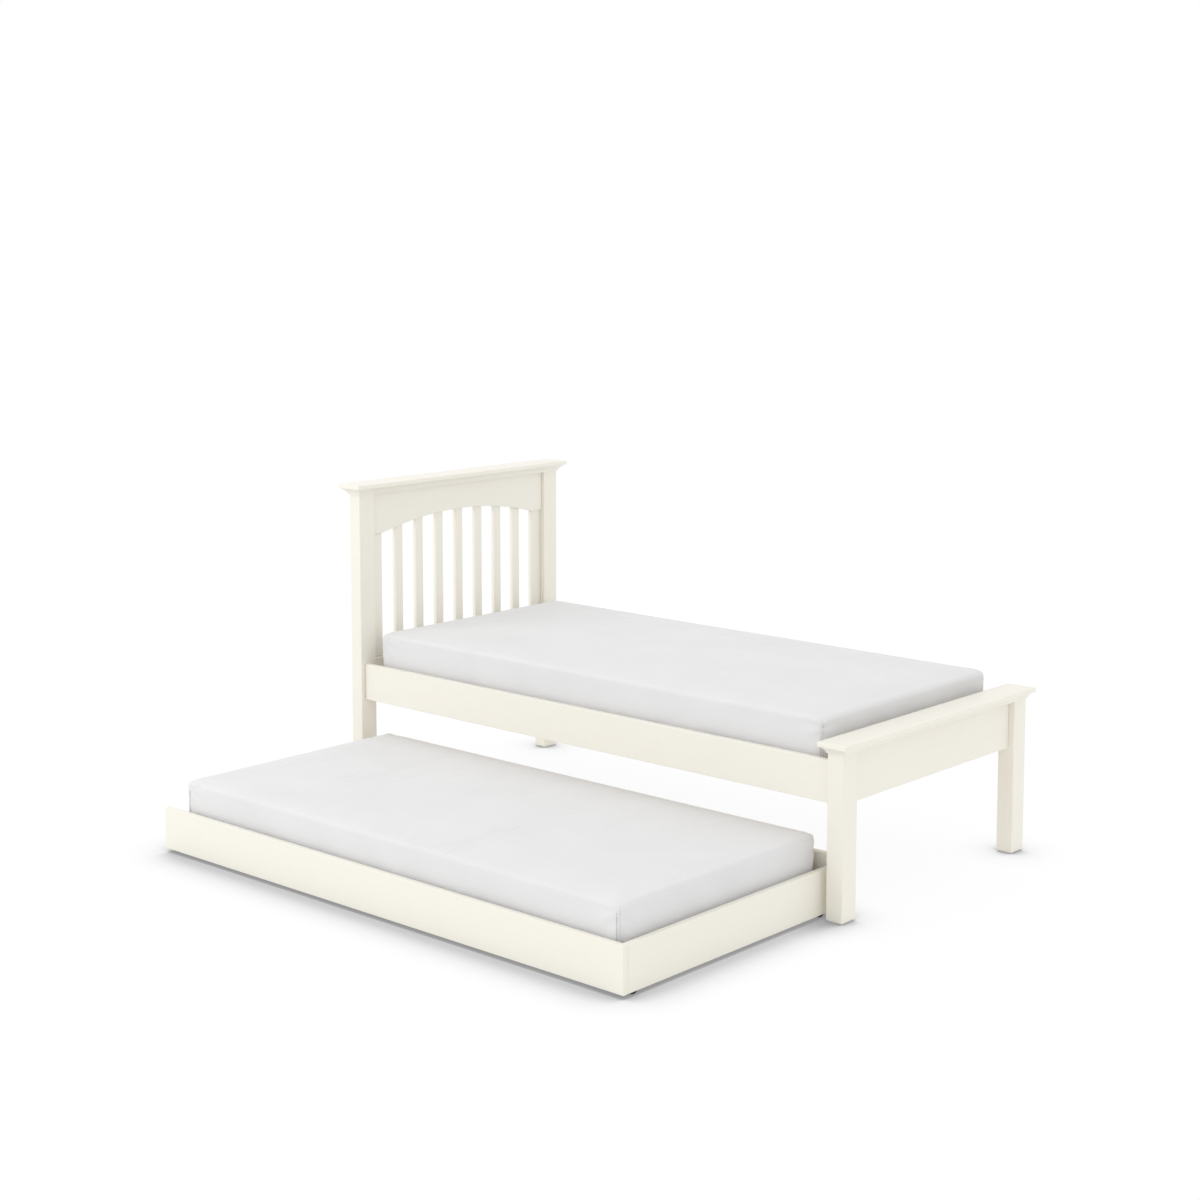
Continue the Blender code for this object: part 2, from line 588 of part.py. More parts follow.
def make_trundle(finishes, parent):
    """The rolling box; x runs from the head posts' outer face, y from the box's front face."""
    paint = finishes["paint"]
    pine = finishes["pine"]
    depth = BED_WIDTH - RAIL_INSET - TRUNDLE_BACK_PLAY
    head_x = INNER_HEAD + TRUNDLE_POST_PLAY
    foot_x = INNER_FOOT - TRUNDLE_POST_PLAY
    top = TRUNDLE_LIFT + TRUNDLE_HEIGHT
    inner_front = TRUNDLE_BOARD
    inner_back = depth - TRUNDLE_BOARD
    inner_head = head_x + TRUNDLE_END_STEP + TRUNDLE_BOARD
    inner_foot = foot_x - TRUNDLE_END_STEP - TRUNDLE_BOARD
    make_board(
        "trundle_front_board",
        (head_x, 0.0, TRUNDLE_LIFT),
        (foot_x, TRUNDLE_BOARD, top),
        paint, parent)
    make_board(
        "trundle_back_board",
        (head_x, inner_back, TRUNDLE_LIFT),
        (foot_x, depth, TRUNDLE_LIFT + TRUNDLE_BACK_HEIGHT),
        paint, parent)
    plate_top = 2 * WHEEL_RADIUS + PLATE_CLEARANCE + PLATE_THICK
    castor_places = (CASTOR_SETBACK, depth - CASTOR_SETBACK)
    for end, low_x, inner_x, height in (
        ("head", inner_head - TRUNDLE_BOARD, inner_head, TRUNDLE_HEAD_HEIGHT),
        ("foot", inner_foot, inner_foot, TRUNDLE_HEIGHT),
    ):
        name = "trundle_end_board_" + end
        middle_y = (inner_front + inner_back) / 2
        half_y = (inner_back - inner_front) / 2 - TOUCH_GAP
        centre = Vector((low_x + TRUNDLE_BOARD / 2, middle_y, TRUNDLE_LIFT + height / 2))
        half = Vector((TRUNDLE_BOARD / 2, half_y, height / 2))
        half_housing = Vector((HOUSING_DEPTH, PLATE_LENGTH / 2 + HOUSING_PLAY, plate_top + HOUSING_PLAY))
        housings = []
        for y in castor_places:
            place = Vector((inner_x, y, 0.0)) - centre
            housings.append(box_object("housing", place - half_housing, place + half_housing))
        mesh = combined_mesh(name, box_object(name, -half, half), housings, "DIFFERENCE")
        soften(add_object(name, mesh, paint, parent, centre), BOARD_EDGE)

    ledger_low = plate_top + TOUCH_GAP
    ledger_top = ledger_low + TRUNDLE_LEDGER_HEIGHT
    for side, low_y in (
        ("front", inner_front + TOUCH_GAP),
        ("back", inner_back - TRUNDLE_LEDGER_WIDTH - TOUCH_GAP),
    ):
        make_board(
            "trundle_ledger_" + side,
            (inner_head + TOUCH_GAP, low_y, ledger_low),
            (inner_foot - TOUCH_GAP, low_y + TRUNDLE_LEDGER_WIDTH, ledger_top),
            pine, parent, SLAT_EDGE)
    slat_low = ledger_top + TOUCH_GAP
    slat_top = slat_low + TRUNDLE_SLAT_THICK
    low = inner_head + TRUNDLE_SLAT_MARGIN
    high = inner_foot - TRUNDLE_SLAT_MARGIN
    for index, x in enumerate(spread(TRUNDLE_SLAT_COUNT, TRUNDLE_SLAT_WIDTH, low, high)):
        make_board(
            f"trundle_slat_{index + 1}",
            (x, inner_front + SLAT_END_PLAY, slat_low),
            (x + TRUNDLE_SLAT_WIDTH, inner_back - SLAT_END_PLAY, slat_top),
            pine, parent, SLAT_EDGE)
    make_mattress(
        "trundle",
        inner_head + TRUNDLE_MATTRESS_HEAD_GAP, inner_foot - TRUNDLE_MATTRESS_FOOT_GAP,
        inner_front + TRUNDLE_MATTRESS_FRONT_GAP, inner_back - TRUNDLE_MATTRESS_BACK_GAP,
        slat_top, finishes, parent)

    wheel = wheel_mesh()
    side_gap = CASTOR_SIDE_GAP + WHEEL_WIDTH / 2 + FORK_PLAY + CHEEK_THICK - HOUSING_DEPTH
    for end, inward, x in (("head", 1, inner_head + side_gap), ("foot", -1, inner_foot - side_gap)):
        bracket = castor_bracket_mesh(inward)
        for side, y in zip(("front", "back"), castor_places):
            centre = (x, y, WHEEL_RADIUS)
            add_object(f"castor_bracket_{side}_{end}", bracket, finishes["zinc"], parent, centre)
            add_object(f"castor_wheel_{side}_{end}", wheel, finishes["wheel"], parent, centre)


def main():
    for item in list(bpy.data.objects):
        bpy.data.objects.remove(item)
    finishes = {
        "paint": make_material("ivory_paint", (0.88, 0.85, 0.76), 0.40),
        "pine": make_material("planed_pine", (0.72, 0.53, 0.33), 0.60),
        "ticking": make_material("mattress_ticking", (0.80, 0.80, 0.78), 0.90),
        "sheet": make_material("white_cotton", (0.86, 0.86, 0.87), 0.85),
        "steel": make_material("bracket_steel", (0.55, 0.55, 0.56), 0.35, 1.0),
        "zinc": make_material("castor_black_steel", (0.04, 0.04, 0.04), 0.45, 0.6),
        "wheel": make_material("castor_black_plastic", (0.02, 0.02, 0.02), 0.50),
    }
    bed = make_empty("bed_corner", (-ORIGIN_X, -ORIGIN_Y, 0.0))
    trundle = make_empty("trundle_corner", (-ORIGIN_X, RAIL_INSET - TRUNDLE_PULL - ORIGIN_Y, 0.0))
    make_headboard(finishes, bed)
    make_footboard(finishes, bed)
    make_sides(finishes, bed)
    make_trundle(finishes, trundle)


main()
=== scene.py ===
import json
import math
import bpy
import numpy as np
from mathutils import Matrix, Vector
from mathutils.bvhtree import BVHTree


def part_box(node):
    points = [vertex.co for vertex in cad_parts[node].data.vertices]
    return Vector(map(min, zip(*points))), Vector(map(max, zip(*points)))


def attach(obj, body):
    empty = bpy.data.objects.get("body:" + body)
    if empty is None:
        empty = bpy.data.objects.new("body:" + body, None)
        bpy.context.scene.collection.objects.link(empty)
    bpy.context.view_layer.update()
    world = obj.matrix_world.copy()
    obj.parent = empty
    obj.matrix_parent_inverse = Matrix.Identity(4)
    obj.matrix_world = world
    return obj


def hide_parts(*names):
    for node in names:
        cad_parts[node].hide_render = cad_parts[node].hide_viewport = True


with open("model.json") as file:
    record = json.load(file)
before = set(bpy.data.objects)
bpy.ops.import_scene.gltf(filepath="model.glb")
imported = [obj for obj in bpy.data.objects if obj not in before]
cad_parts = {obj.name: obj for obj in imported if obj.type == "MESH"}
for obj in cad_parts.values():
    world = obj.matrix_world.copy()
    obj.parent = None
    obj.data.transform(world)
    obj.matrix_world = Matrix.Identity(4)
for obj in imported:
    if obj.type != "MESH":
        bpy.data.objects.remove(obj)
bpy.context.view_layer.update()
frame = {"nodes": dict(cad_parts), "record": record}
nodes = frame["nodes"]
scene = bpy.context.scene
print("frame loaded:", len(nodes), "nodes")


# camera, from the front and the foot end, a little above the headboard
view = {
    "place": (4.3548, -4.7856, 1.957), "turn": 41.993, "dip": 6.337, "lens": 63.383, "shift": -0.12,
    "farthest": 60.0}
cameraData = bpy.data.cameras.new("camera")
cameraData.lens = view["lens"]
cameraData.shift_y = view["shift"]
cameraData.clip_end = view["farthest"]
camera = bpy.data.objects.new("camera", cameraData)
camera.location = view["place"]
camera.rotation_euler = (math.radians(90 - view["dip"]), 0, math.radians(view["turn"]))
scene.collection.objects.link(camera)
scene.camera = camera


# nodes of a material or a geometry tree, and the links between them
def addNode(tree, kind, settings=None, **inputs):
    node = tree.nodes.new(kind)
    for key, value in (settings or {}).items():
        setattr(node, key, value)
    for key, value in inputs.items():
        socket = node.inputs[int(key[1:])] if key[0] == "i" and key[1:].isdigit() else node.inputs[key]
        if isinstance(value, bpy.types.NodeSocket):
            tree.links.new(value, socket)
        else:
            socket.default_value = value
    return node


def newFinish(name, colour, roughness, metallic=0.0, **shaderInputs):
    material = bpy.data.materials.new(name)
    material.use_nodes = True
    shader = material.node_tree.nodes["Principled BSDF"]
    shader.inputs["Base Color"].default_value = (*colour, 1)
    shader.inputs["Roughness"].default_value = roughness
    shader.inputs["Metallic"].default_value = metallic
    for key, value in shaderInputs.items():
        shader.inputs[key.replace("_", " ")].default_value = value
    return material, material.node_tree, shader


def ownCoordinates(tree, scale):
    coordinates = addNode(tree, "ShaderNodeTexCoord")
    mapping = addNode(tree, "ShaderNodeMapping", Vector=coordinates.outputs["Object"])
    mapping.inputs["Scale"].default_value = scale
    return mapping.outputs["Vector"]


def noiseOf(tree, vector, scale, detail=3.0, roughness=0.5, distortion=0.0):
    noise = addNode(
        tree, "ShaderNodeTexNoise", Vector=vector, Scale=scale, Detail=detail,
        Roughness=roughness, Distortion=distortion)
    return noise.outputs["Fac"]


def ramp(tree, factor, stops):
    node = addNode(tree, "ShaderNodeValToRGB", Fac=factor)
    node.color_ramp.elements[0].position = stops[0][0]
    node.color_ramp.elements[0].color = (*stops[0][1], 1)
    node.color_ramp.elements[1].position = stops[-1][0]
    node.color_ramp.elements[1].color = (*stops[-1][1], 1)
    for position, colour in stops[1:-1]:
        node.color_ramp.elements.new(position).color = (*colour, 1)
    return node.outputs["Color"]


def mapped(tree, value, low, high, start=0.0, end=1.0):
    node = addNode(tree, "ShaderNodeMapRange", Value=value, i1=start, i2=end, i3=low, i4=high)
    return node.outputs["Result"]


def calc(tree, operation, *values):
    inputs = {f"i{number}": value for number, value in enumerate(values)}
    return addNode(tree, "ShaderNodeMath", {"operation": operation}, **inputs).outputs[0]


def bumpOf(tree, height, strength, distance, under=None):
    bump = addNode(tree, "ShaderNodeBump", Height=height, Strength=strength, Distance=distance)
    if under is not None:
        tree.links.new(under, bump.inputs["Normal"])
    return bump.outputs["Normal"]


def alongAxis(axis, along, across):
    scale = [across, across, across]
    scale["XYZ".index(axis)] = along
    return scale


paint = {
    "colour": (0.862, 0.835, 0.750), "low": (0.850, 0.821, 0.734), "high": (0.870, 0.845, 0.763),
    "rough": 0.36}


# satin paint, brushed along the board, that just lets the grain show
def makePaint(axis):
    material, tree, shader = newFinish(
        "ivoryPaint" + axis, paint["colour"], paint["rough"], Specular_IOR_Level=0.42, Coat_Weight=0.06,
        Coat_Roughness=0.25)
    vector = ownCoordinates(tree, alongAxis(axis, along=1.6, across=46.0))
    grain = noiseOf(tree, vector, scale=3.0, detail=5.0, roughness=0.62, distortion=0.35)
    cloud = noiseOf(tree, ownCoordinates(tree, (3.0, 3.0, 3.0)), scale=1.5, detail=2.0)
    mixed = calc(tree, "MULTIPLY_ADD", cloud, 0.45, grain)
    colour = ramp(tree, mixed, [(0.42, paint["low"]), (0.80, paint["colour"]), (1.0, paint["high"])])
    tree.links.new(colour, shader.inputs["Base Color"])
    tree.links.new(mapped(tree, grain, low=0.30, high=0.44), shader.inputs["Roughness"])
    vector = ownCoordinates(tree, alongAxis(axis, along=5.0, across=260.0))
    strokes = noiseOf(tree, vector, scale=2.0, detail=2.0)
    normal = bumpOf(tree, grain, strength=0.11, distance=0.0006)
    normal = bumpOf(tree, strokes, strength=0.06, distance=0.0003, under=normal)
    tree.links.new(normal, shader.inputs["Normal"])
    return material


pine = {
    "light": (0.78, 0.60, 0.38), "pale": (0.84, 0.67, 0.45), "dark": (0.58, 0.38, 0.20),
    "knot": (0.26, 0.14, 0.07), "rough": 0.55, "rings": 34.0}


# planed pine, with growth rings drawn out along the board and a few knots
def makePine(axis):
    material, tree, shader = newFinish(
        "planedPine" + axis, pine["light"], pine["rough"], Specular_IOR_Level=0.35)
    vector = ownCoordinates(tree, alongAxis(axis, along=0.9, across=14.0))
    warp = noiseOf(tree, vector, scale=1.4, detail=3.0, distortion=0.6)
    rings = calc(tree, "SINE", calc(tree, "MULTIPLY", warp, pine["rings"]))
    rings = mapped(tree, rings, low=0.0, high=1.0, start=-1.0)
    vector = ownCoordinates(tree, alongAxis(axis, along=8.0, across=420.0))
    fibre = noiseOf(tree, vector, scale=2.0, detail=3.0)
    vector = ownCoordinates(tree, alongAxis(axis, along=2.2, across=6.5))
    spots = addNode(tree, "ShaderNodeTexVoronoi", Vector=vector, Scale=1.0)
    knot = mapped(tree, spots.outputs["Distance"], low=0.0, high=1.0, start=0.05, end=0.14)
    both = calc(tree, "MULTIPLY_ADD", fibre, 0.35, rings)
    wood = ramp(tree, both, [(0.1, pine["dark"]), (0.55, pine["light"]), (1.0, pine["pale"])])
    mix = addNode(tree, "ShaderNodeMix", {"data_type": "RGBA"}, Factor=knot)
    mix.inputs[6].default_value = (*pine["knot"], 1)
    tree.links.new(wood, mix.inputs[7])
    tree.links.new(mix.outputs[2], shader.inputs["Base Color"])
    tree.links.new(mapped(tree, fibre, low=0.45, high=0.68), shader.inputs["Roughness"])
    normal = bumpOf(tree, rings, strength=0.12, distance=0.0005)
    normal = bumpOf(tree, fibre, strength=0.22, distance=0.0003, under=normal)
    tree.links.new(normal, shader.inputs["Normal"])
    return material


cotton = {
    "colour": (0.752, 0.752, 0.757), "rough": 0.86, "thread": 2600.0, "dim": 0.972, "bright": 1.012,
    "creaseTurn": 9, "creaseDepth": 0.0035}


# plain woven cotton: threads both ways, with a soft sheen and slight unevenness
def makeCotton(name, colour, threadScale, relief, crease=0.0):
    material, tree, shader = newFinish(
        name, colour, cotton["rough"], Sheen_Weight=0.12, Sheen_Roughness=0.55, Specular_IOR_Level=0.22)
    coordinates = addNode(tree, "ShaderNodeTexCoord")
    split = addNode(tree, "ShaderNodeSeparateXYZ", Vector=coordinates.outputs["Object"])
    threads = [
        calc(tree, "SINE", calc(tree, "MULTIPLY", split.outputs[axis], threadScale)) for axis in "XYZ"]
    weave = calc(tree, "ADD", calc(tree, "MULTIPLY", threads[0], threads[1]), threads[2])
    slub = noiseOf(tree, ownCoordinates(tree, (30.0, 220.0, 120.0)), scale=2.0, detail=3.0)
    cloud = noiseOf(tree, ownCoordinates(tree, (1.0, 1.0, 1.0)), scale=5.0, detail=3.0)
    tone = calc(tree, "MULTIPLY_ADD", slub, 0.4, cloud)
    dim = tuple(c * cotton["dim"] for c in colour)
    bright = tuple(min(1.0, c * cotton["bright"]) for c in colour)
    tree.links.new(ramp(tree, tone, [(0.45, dim), (0.95, bright)]), shader.inputs["Base Color"])
    normal = bumpOf(tree, weave, strength=0.10, distance=0.0002)
    normal = bumpOf(tree, slub, strength=0.10, distance=0.0003, under=normal)
    if crease:
        # fine creases across the top of the cloth, broken up into short lengths
        slant = ownCoordinates(tree, (15.0, 2.4, 2.4))
        slant.node.inputs["Rotation"].default_value = (0, 0, math.radians(cotton["creaseTurn"]))
        fold = noiseOf(tree, slant, scale=1.0, detail=1.5, roughness=0.45, distortion=0.5)
        fold = ramp(tree, fold, [
            (0.0, (0, 0, 0)), (0.485, (0, 0, 0)), (0.515, (1, 1, 1)), (0.56, (0.15, 0.15, 0.15)),
            (0.66, (0, 0, 0))])
        place = noiseOf(tree, ownCoordinates(tree, (1.0, 1.0, 1.0)), scale=3.2, detail=1.0)
        place = ramp(tree, place, [(0.50, (0, 0, 0)), (0.66, (1, 1, 1))])
        surface = addNode(tree, "ShaderNodeNewGeometry")
        facing = addNode(tree, "ShaderNodeSeparateXYZ", Vector=surface.outputs["Normal"])
        upward = mapped(tree, facing.outputs["Z"], low=0.0, high=1.0, start=0.80, end=0.97)
        drawn = calc(tree, "MULTIPLY", fold, calc(tree, "MULTIPLY", place, upward))
        normal = bumpOf(tree, drawn, crease, cotton["creaseDepth"], under=normal)
    soft = noiseOf(tree, ownCoordinates(tree, (1.0, 0.45, 1.0)), scale=9.0, detail=3.0)
    normal = bumpOf(tree, soft, relief, distance=0.004, under=normal)
    tree.links.new(normal, shader.inputs["Normal"])
    return material


# zinc plated steel with a faint brushed streak
def makeSteel():
    material, tree, shader = newFinish("bracketSteel", (0.58, 0.58, 0.60), roughness=0.34, metallic=1.0)
    streak = noiseOf(tree, ownCoordinates(tree, (30.0, 30.0, 900.0)), scale=1.0, detail=3.0)
    tree.links.new(mapped(tree, streak, low=0.24, high=0.50), shader.inputs["Roughness"])
    patch = noiseOf(tree, ownCoordinates(tree, (60.0, 60.0, 60.0)), scale=1.0, detail=4.0)
    colour = ramp(tree, patch, [(0.3, (0.50, 0.50, 0.51)), (0.7, (0.66, 0.66, 0.68))])
    tree.links.new(colour, shader.inputs["Base Color"])
    tree.links.new(bumpOf(tree, streak, strength=0.10, distance=0.0002), shader.inputs["Normal"])
    return material


# black moulded plastic or painted steel with a fine grain
def makeBlack(name, rough, metallic, grainScale):
    material, tree, shader = newFinish(name, (0.018, 0.018, 0.019), rough, metallic)
    grain = noiseOf(tree, ownCoordinates(tree, (1.0, 1.0, 1.0)), grainScale, detail=3.0)
    tree.links.new(mapped(tree, grain, low=rough - 0.08, high=rough + 0.12), shader.inputs["Roughness"])
    colour = ramp(tree, grain, [(0.3, (0.013, 0.013, 0.014)), (0.7, (0.026, 0.026, 0.027))])
    tree.links.new(colour, shader.inputs["Base Color"])
    tree.links.new(bumpOf(tree, grain, strength=0.18, distance=0.0002), shader.inputs["Normal"])
    return material


finishes = {"paint" + axis: makePaint(axis) for axis in "XYZ"}
finishes.update({"pine" + axis: makePine(axis) for axis in "XYZ"})
finishes["sheet"] = makeCotton("whiteCotton", cotton["colour"], cotton["thread"], relief=0.10, crease=0.40)
finishes["ticking"] = makeCotton("mattressTicking", (0.74, 0.74, 0.72), threadScale=1500.0, relief=0.25)
finishes["piping"] = makeCotton("mattressPiping", (0.62, 0.63, 0.64), threadScale=1900.0, relief=0.1)
# the seam thread's grey is painted shade, standing in for the shadow in the seam's groove
finishes["thread"] = makeCotton("seamStitchPaintedShade", (0.41, 0.41, 0.42), threadScale=3000.0, relief=0.0)
finishes["steel"] = makeSteel()
finishes["castorSteel"] = makeBlack("castorBlackSteel", rough=0.36, metallic=0.5, grainScale=900.0)
finishes["castorPlastic"] = makeBlack("castorBlackPlastic", rough=0.46, metallic=0.0, grainScale=1400.0)
print("finishes made:", len(finishes))


# every CAD piece that stays takes the finish of its slot, with the grain along its longest side
slotFinish = {
    "ivory_paint": "paint", "pine": "pine", "bracket_steel": "steel", "castor_steel": "castorSteel",
    "castor_plastic": "castorPlastic", "mattress_ticking": "ticking", "white_sheet": "sheet"}
for row in frame["record"]["subparts"]:
    node = nodes[row["node"]]
    low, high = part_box(row["node"])
    size = high - low
    longAxis = "XYZ"[max(range(3), key=lambda i: size[i])]
    name = slotFinish[row["material_slot"]]
    node.data.materials.clear()
    node.data.materials.append(finishes.get(name + longAxis) or finishes[name])


def newPiece(name, mesh, material, body):
    piece = bpy.data.objects.new(name, mesh)
    if material:
        mesh.materials.clear()
        mesh.materials.append(material)
    scene.collection.objects.link(piece)
    if body:
        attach(piece, body)
    return piece


def meshFrom(name, points, faces, smooth=True):
    mesh = bpy.data.meshes.new(name)
    mesh.from_pydata([tuple(p) for p in points], [], faces)
    mesh.validate()
    if smooth:
        mesh.shade_smooth()
    mesh.update()
    return mesh


# moulded caps, finer than the frame's: a square edge over a cove
cap = {
    "slab": 0.014, "edge": 0.003, "edgeSteps": 6, "quirk": 0.003, "foot": 0.004, "footIn": 0.012,
    "footEase": 0.0006, "fillet": 0.003, "hollow": 0.4, "steps": 14, "lipIn": 0.0010, "lipUp": 0.0012,
    "lipStart": 0.0002, "topIn": 0.014, "sharp": 32, "headOverhang": 0.028, "footOverhang": 0.022}


def capProfile(height, overhang):
    coveOut = overhang - cap["quirk"]
    coveHigh = height - cap["slab"]
    points = [
        (cap["foot"] - cap["footIn"], 0.0), (cap["foot"] - cap["footEase"], 0.0),
        (cap["foot"], cap["footEase"])]
    for step in range(cap["steps"] + 1):
        share = step / cap["steps"]
        angle = math.pi / 2 * share
        out = cap["hollow"] * (1 - math.cos(angle)) + (1 - cap["hollow"]) * share
        up = cap["hollow"] * math.sin(angle) + (1 - cap["hollow"]) * share
        reach = cap["foot"] + (coveOut - cap["foot"]) * out
        points.append((reach, cap["fillet"] + (coveHigh - cap["fillet"]) * up))
    points.append((overhang - cap["lipIn"], coveHigh + cap["lipStart"]))
    points.append((overhang, coveHigh + cap["lipUp"]))
    for step in range(cap["edgeSteps"] + 1):
        angle = math.pi / 2 * step / cap["edgeSteps"]
        reach = overhang - cap["edge"] * (1 - math.cos(angle))
        points.append((reach, height - cap["edge"] * (1 - math.sin(angle))))
    points.append((overhang - cap["topIn"], height))
    return points


def cornerRing(halfX, halfY, radius, z, steps=5):
    ring = []
    for sideX, sideY, start in ((1, -1, -90), (1, 1, 0), (-1, 1, 90), (-1, -1, 180)):
        for step in range(steps + 1):
            angle = math.radians(start + 90 * step / steps)
            ring.append((
                sideX * (halfX - radius) + radius * math.cos(angle),
                sideY * (halfY - radius) + radius * math.sin(angle), z))
    return ring


def skinned(rings):
    count = len(rings[0])
    points = [p for ring in rings for p in ring]
    faces = []
    for level in range(len(rings) - 1):
        for i in range(count):
            j = (i + 1) % count
            a, b = level * count, (level + 1) * count
            faces.append((a + i, a + j, b + j, b + i))
    faces.append(tuple(reversed(range(count))))
    faces.append(tuple(range((len(rings) - 1) * count, len(rings) * count)))
    return points, faces


def makeCap(node, pieceName, overhang):
    low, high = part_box(node)
    middle = (low + high) / 2
    halfX = (high.x - low.x) / 2 - overhang
    halfY = (high.y - low.y) / 2 - overhang
    rings = []
    for reach, z in capProfile(high.z - low.z, overhang):
        ring = cornerRing(halfX + reach, halfY + reach, cap["edge"], low.z + z)
        rings.append([(x + middle.x, y + middle.y, height) for x, y, height in ring])
    points, faces = skinned(rings)
    mesh = meshFrom(pieceName, points, faces)
    mesh.set_sharp_from_angle(angle=math.radians(cap["sharp"]))
    piece = newPiece(pieceName, mesh, finishes["paintY"], "bed_frame")
    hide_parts(node)


makeCap("head_cap", "headCapMoulding", cap["headOverhang"])
makeCap("foot_cap", "footCapMoulding", cap["footOverhang"])
print("caps made")


# a tree that pipes a cord along each edge loop, waved up and down where it is gathered
def makePipingTree():
    tree = bpy.data.node_groups.new("pipingAlongEdge", "GeometryNodeTree")
    face = tree.interface
    face.new_socket("Geometry", in_out="INPUT", socket_type="NodeSocketGeometry")
    for name, kind in (("Radius", "NodeSocketFloat"), ("Spacing", "NodeSocketFloat"),
                       ("Wave Height", "NodeSocketFloat"), ("Wave Turn", "NodeSocketFloat"),
                       ("Finish", "NodeSocketMaterial")):
        face.new_socket(name, in_out="INPUT", socket_type=kind)
    face.new_socket("Geometry", in_out="OUTPUT", socket_type="NodeSocketGeometry")
    given = tree.nodes.new("NodeGroupInput").outputs
    curve = addNode(tree, "GeometryNodeMeshToCurve", Mesh=given["Geometry"])
    even = addNode(
        tree, "GeometryNodeResampleCurve", {"mode": "LENGTH"}, Curve=curve.outputs[0],
        Length=given["Spacing"])
    index = addNode(tree, "GeometryNodeInputIndex")
    wave = calc(tree, "SINE", calc(tree, "MULTIPLY", index.outputs[0], given["Wave Turn"]))
    lift = addNode(tree, "ShaderNodeCombineXYZ", Z=calc(tree, "MULTIPLY", wave, given["Wave Height"]))
    moved = addNode(tree, "GeometryNodeSetPosition", Geometry=even.outputs[0], Offset=lift.outputs[0])
    circle = addNode(tree, "GeometryNodeCurvePrimitiveCircle", Resolution=8, Radius=given["Radius"])
    pipe = addNode(tree, "GeometryNodeCurveToMesh", Curve=moved.outputs[0])
    tree.links.new(circle.outputs[0], pipe.inputs["Profile Curve"])
    smooth = addNode(tree, "GeometryNodeSetShadeSmooth", Geometry=pipe.outputs[0])
    real = addNode(tree, "GeometryNodeRealizeInstances", Geometry=smooth.outputs[0])
    finish = addNode(tree, "GeometryNodeSetMaterial", Geometry=real.outputs[0], Material=given["Finish"])
    out = tree.nodes.new("NodeGroupOutput")
    tree.links.new(finish.outputs[0], out.inputs[0])
    return tree


fastener = {"sides": 20, "recessReach": 1.25, "recessUp": 0.55, "spin": 3.14, "sharp": 30}


# a tree that sets a fastener's head on each point, facing the way that the point's aim says
def makeHeadTree():
    tree = bpy.data.node_groups.new("headsOnPoints", "GeometryNodeTree")
    face = tree.interface
    face.new_socket("Geometry", in_out="INPUT", socket_type="NodeSocketGeometry")
    for name, kind in (("Head Radius", "NodeSocketFloat"), ("Head Height", "NodeSocketFloat"),
                       ("Recess Width", "NodeSocketFloat"), ("Recess Length", "NodeSocketFloat"),
                       ("Seed", "NodeSocketInt"), ("Finish", "NodeSocketMaterial")):
        face.new_socket(name, in_out="INPUT", socket_type=kind)
    face.new_socket("Geometry", in_out="OUTPUT", socket_type="NodeSocketGeometry")
    given = tree.nodes.new("NodeGroupInput").outputs
    head = addNode(
        tree, "GeometryNodeMeshCylinder", Vertices=fastener["sides"], Radius=given["Head Radius"],
        Depth=given["Head Height"])
    size = addNode(
        tree, "ShaderNodeCombineXYZ", X=given["Recess Width"], Y=given["Recess Length"],
        Z=given["Head Height"])
    bar = addNode(tree, "GeometryNodeMeshCube", Size=size.outputs[0])
    recessUp = calc(tree, "MULTIPLY", given["Head Height"], fastener["recessUp"])
    up = addNode(tree, "ShaderNodeCombineXYZ", Z=recessUp)
    cut = addNode(tree, "GeometryNodeMeshBoolean", {"operation": "DIFFERENCE"})
    tree.links.new(head.outputs[0], cut.inputs[0])
    for quarter in (0.0, math.pi / 2):
        placed = addNode(
            tree, "GeometryNodeTransform", Geometry=bar.outputs[0], Translation=up.outputs[0],
            Rotation=(0.0, 0.0, quarter))
        tree.links.new(placed.outputs[0], cut.inputs[1])
    aim = addNode(tree, "GeometryNodeInputNamedAttribute", {"data_type": "FLOAT_VECTOR"}, Name="aim")
    spin = addNode(tree, "FunctionNodeRandomValue", {"data_type": "FLOAT"}, Seed=given["Seed"])
    spin.inputs[3].default_value = fastener["spin"]
    spun = addNode(tree, "ShaderNodeCombineXYZ", Z=spin.outputs[1])
    aligned = addNode(tree, "FunctionNodeAlignRotationToVector", {"axis": "Z"}, Vector=aim.outputs[0])
    rotated = addNode(
        tree, "FunctionNodeRotateRotation", {"rotation_space": "LOCAL"}, Rotation=aligned.outputs[0])
    tree.links.new(spun.outputs[0], rotated.inputs[1])
    heads = addNode(tree, "GeometryNodeInstanceOnPoints", Points=given["Geometry"], Instance=cut.outputs[0],
                    Rotation=rotated.outputs[0])
    real = addNode(tree, "GeometryNodeRealizeInstances", Geometry=heads.outputs[0])
    finish = addNode(tree, "GeometryNodeSetMaterial", Geometry=real.outputs[0], Material=given["Finish"])
    out = tree.nodes.new("NodeGroupOutput")
    tree.links.new(finish.outputs[0], out.inputs[0])
    return tree


pipingTree = makePipingTree()
headTree = makeHeadTree()


# runs a tree on a mesh and keeps the result as a plain mesh
def grown(name, mesh, tree, values):
    seed = bpy.data.objects.new(name + "Seed", mesh)
    scene.collection.objects.link(seed)
    modifier = seed.modifiers.new("grow", "NODES")
    modifier.node_group = tree
    for item in tree.interface.items_tree:
        if item.in_out == "INPUT" and item.name in values:
            modifier[item.identifier] = values[item.name]
    result = bpy.data.meshes.new_from_object(seed.evaluated_get(bpy.context.evaluated_depsgraph_get()))
    seed.modifiers.clear()
    bpy.data.objects.remove(seed)
    result.name = name
    return result


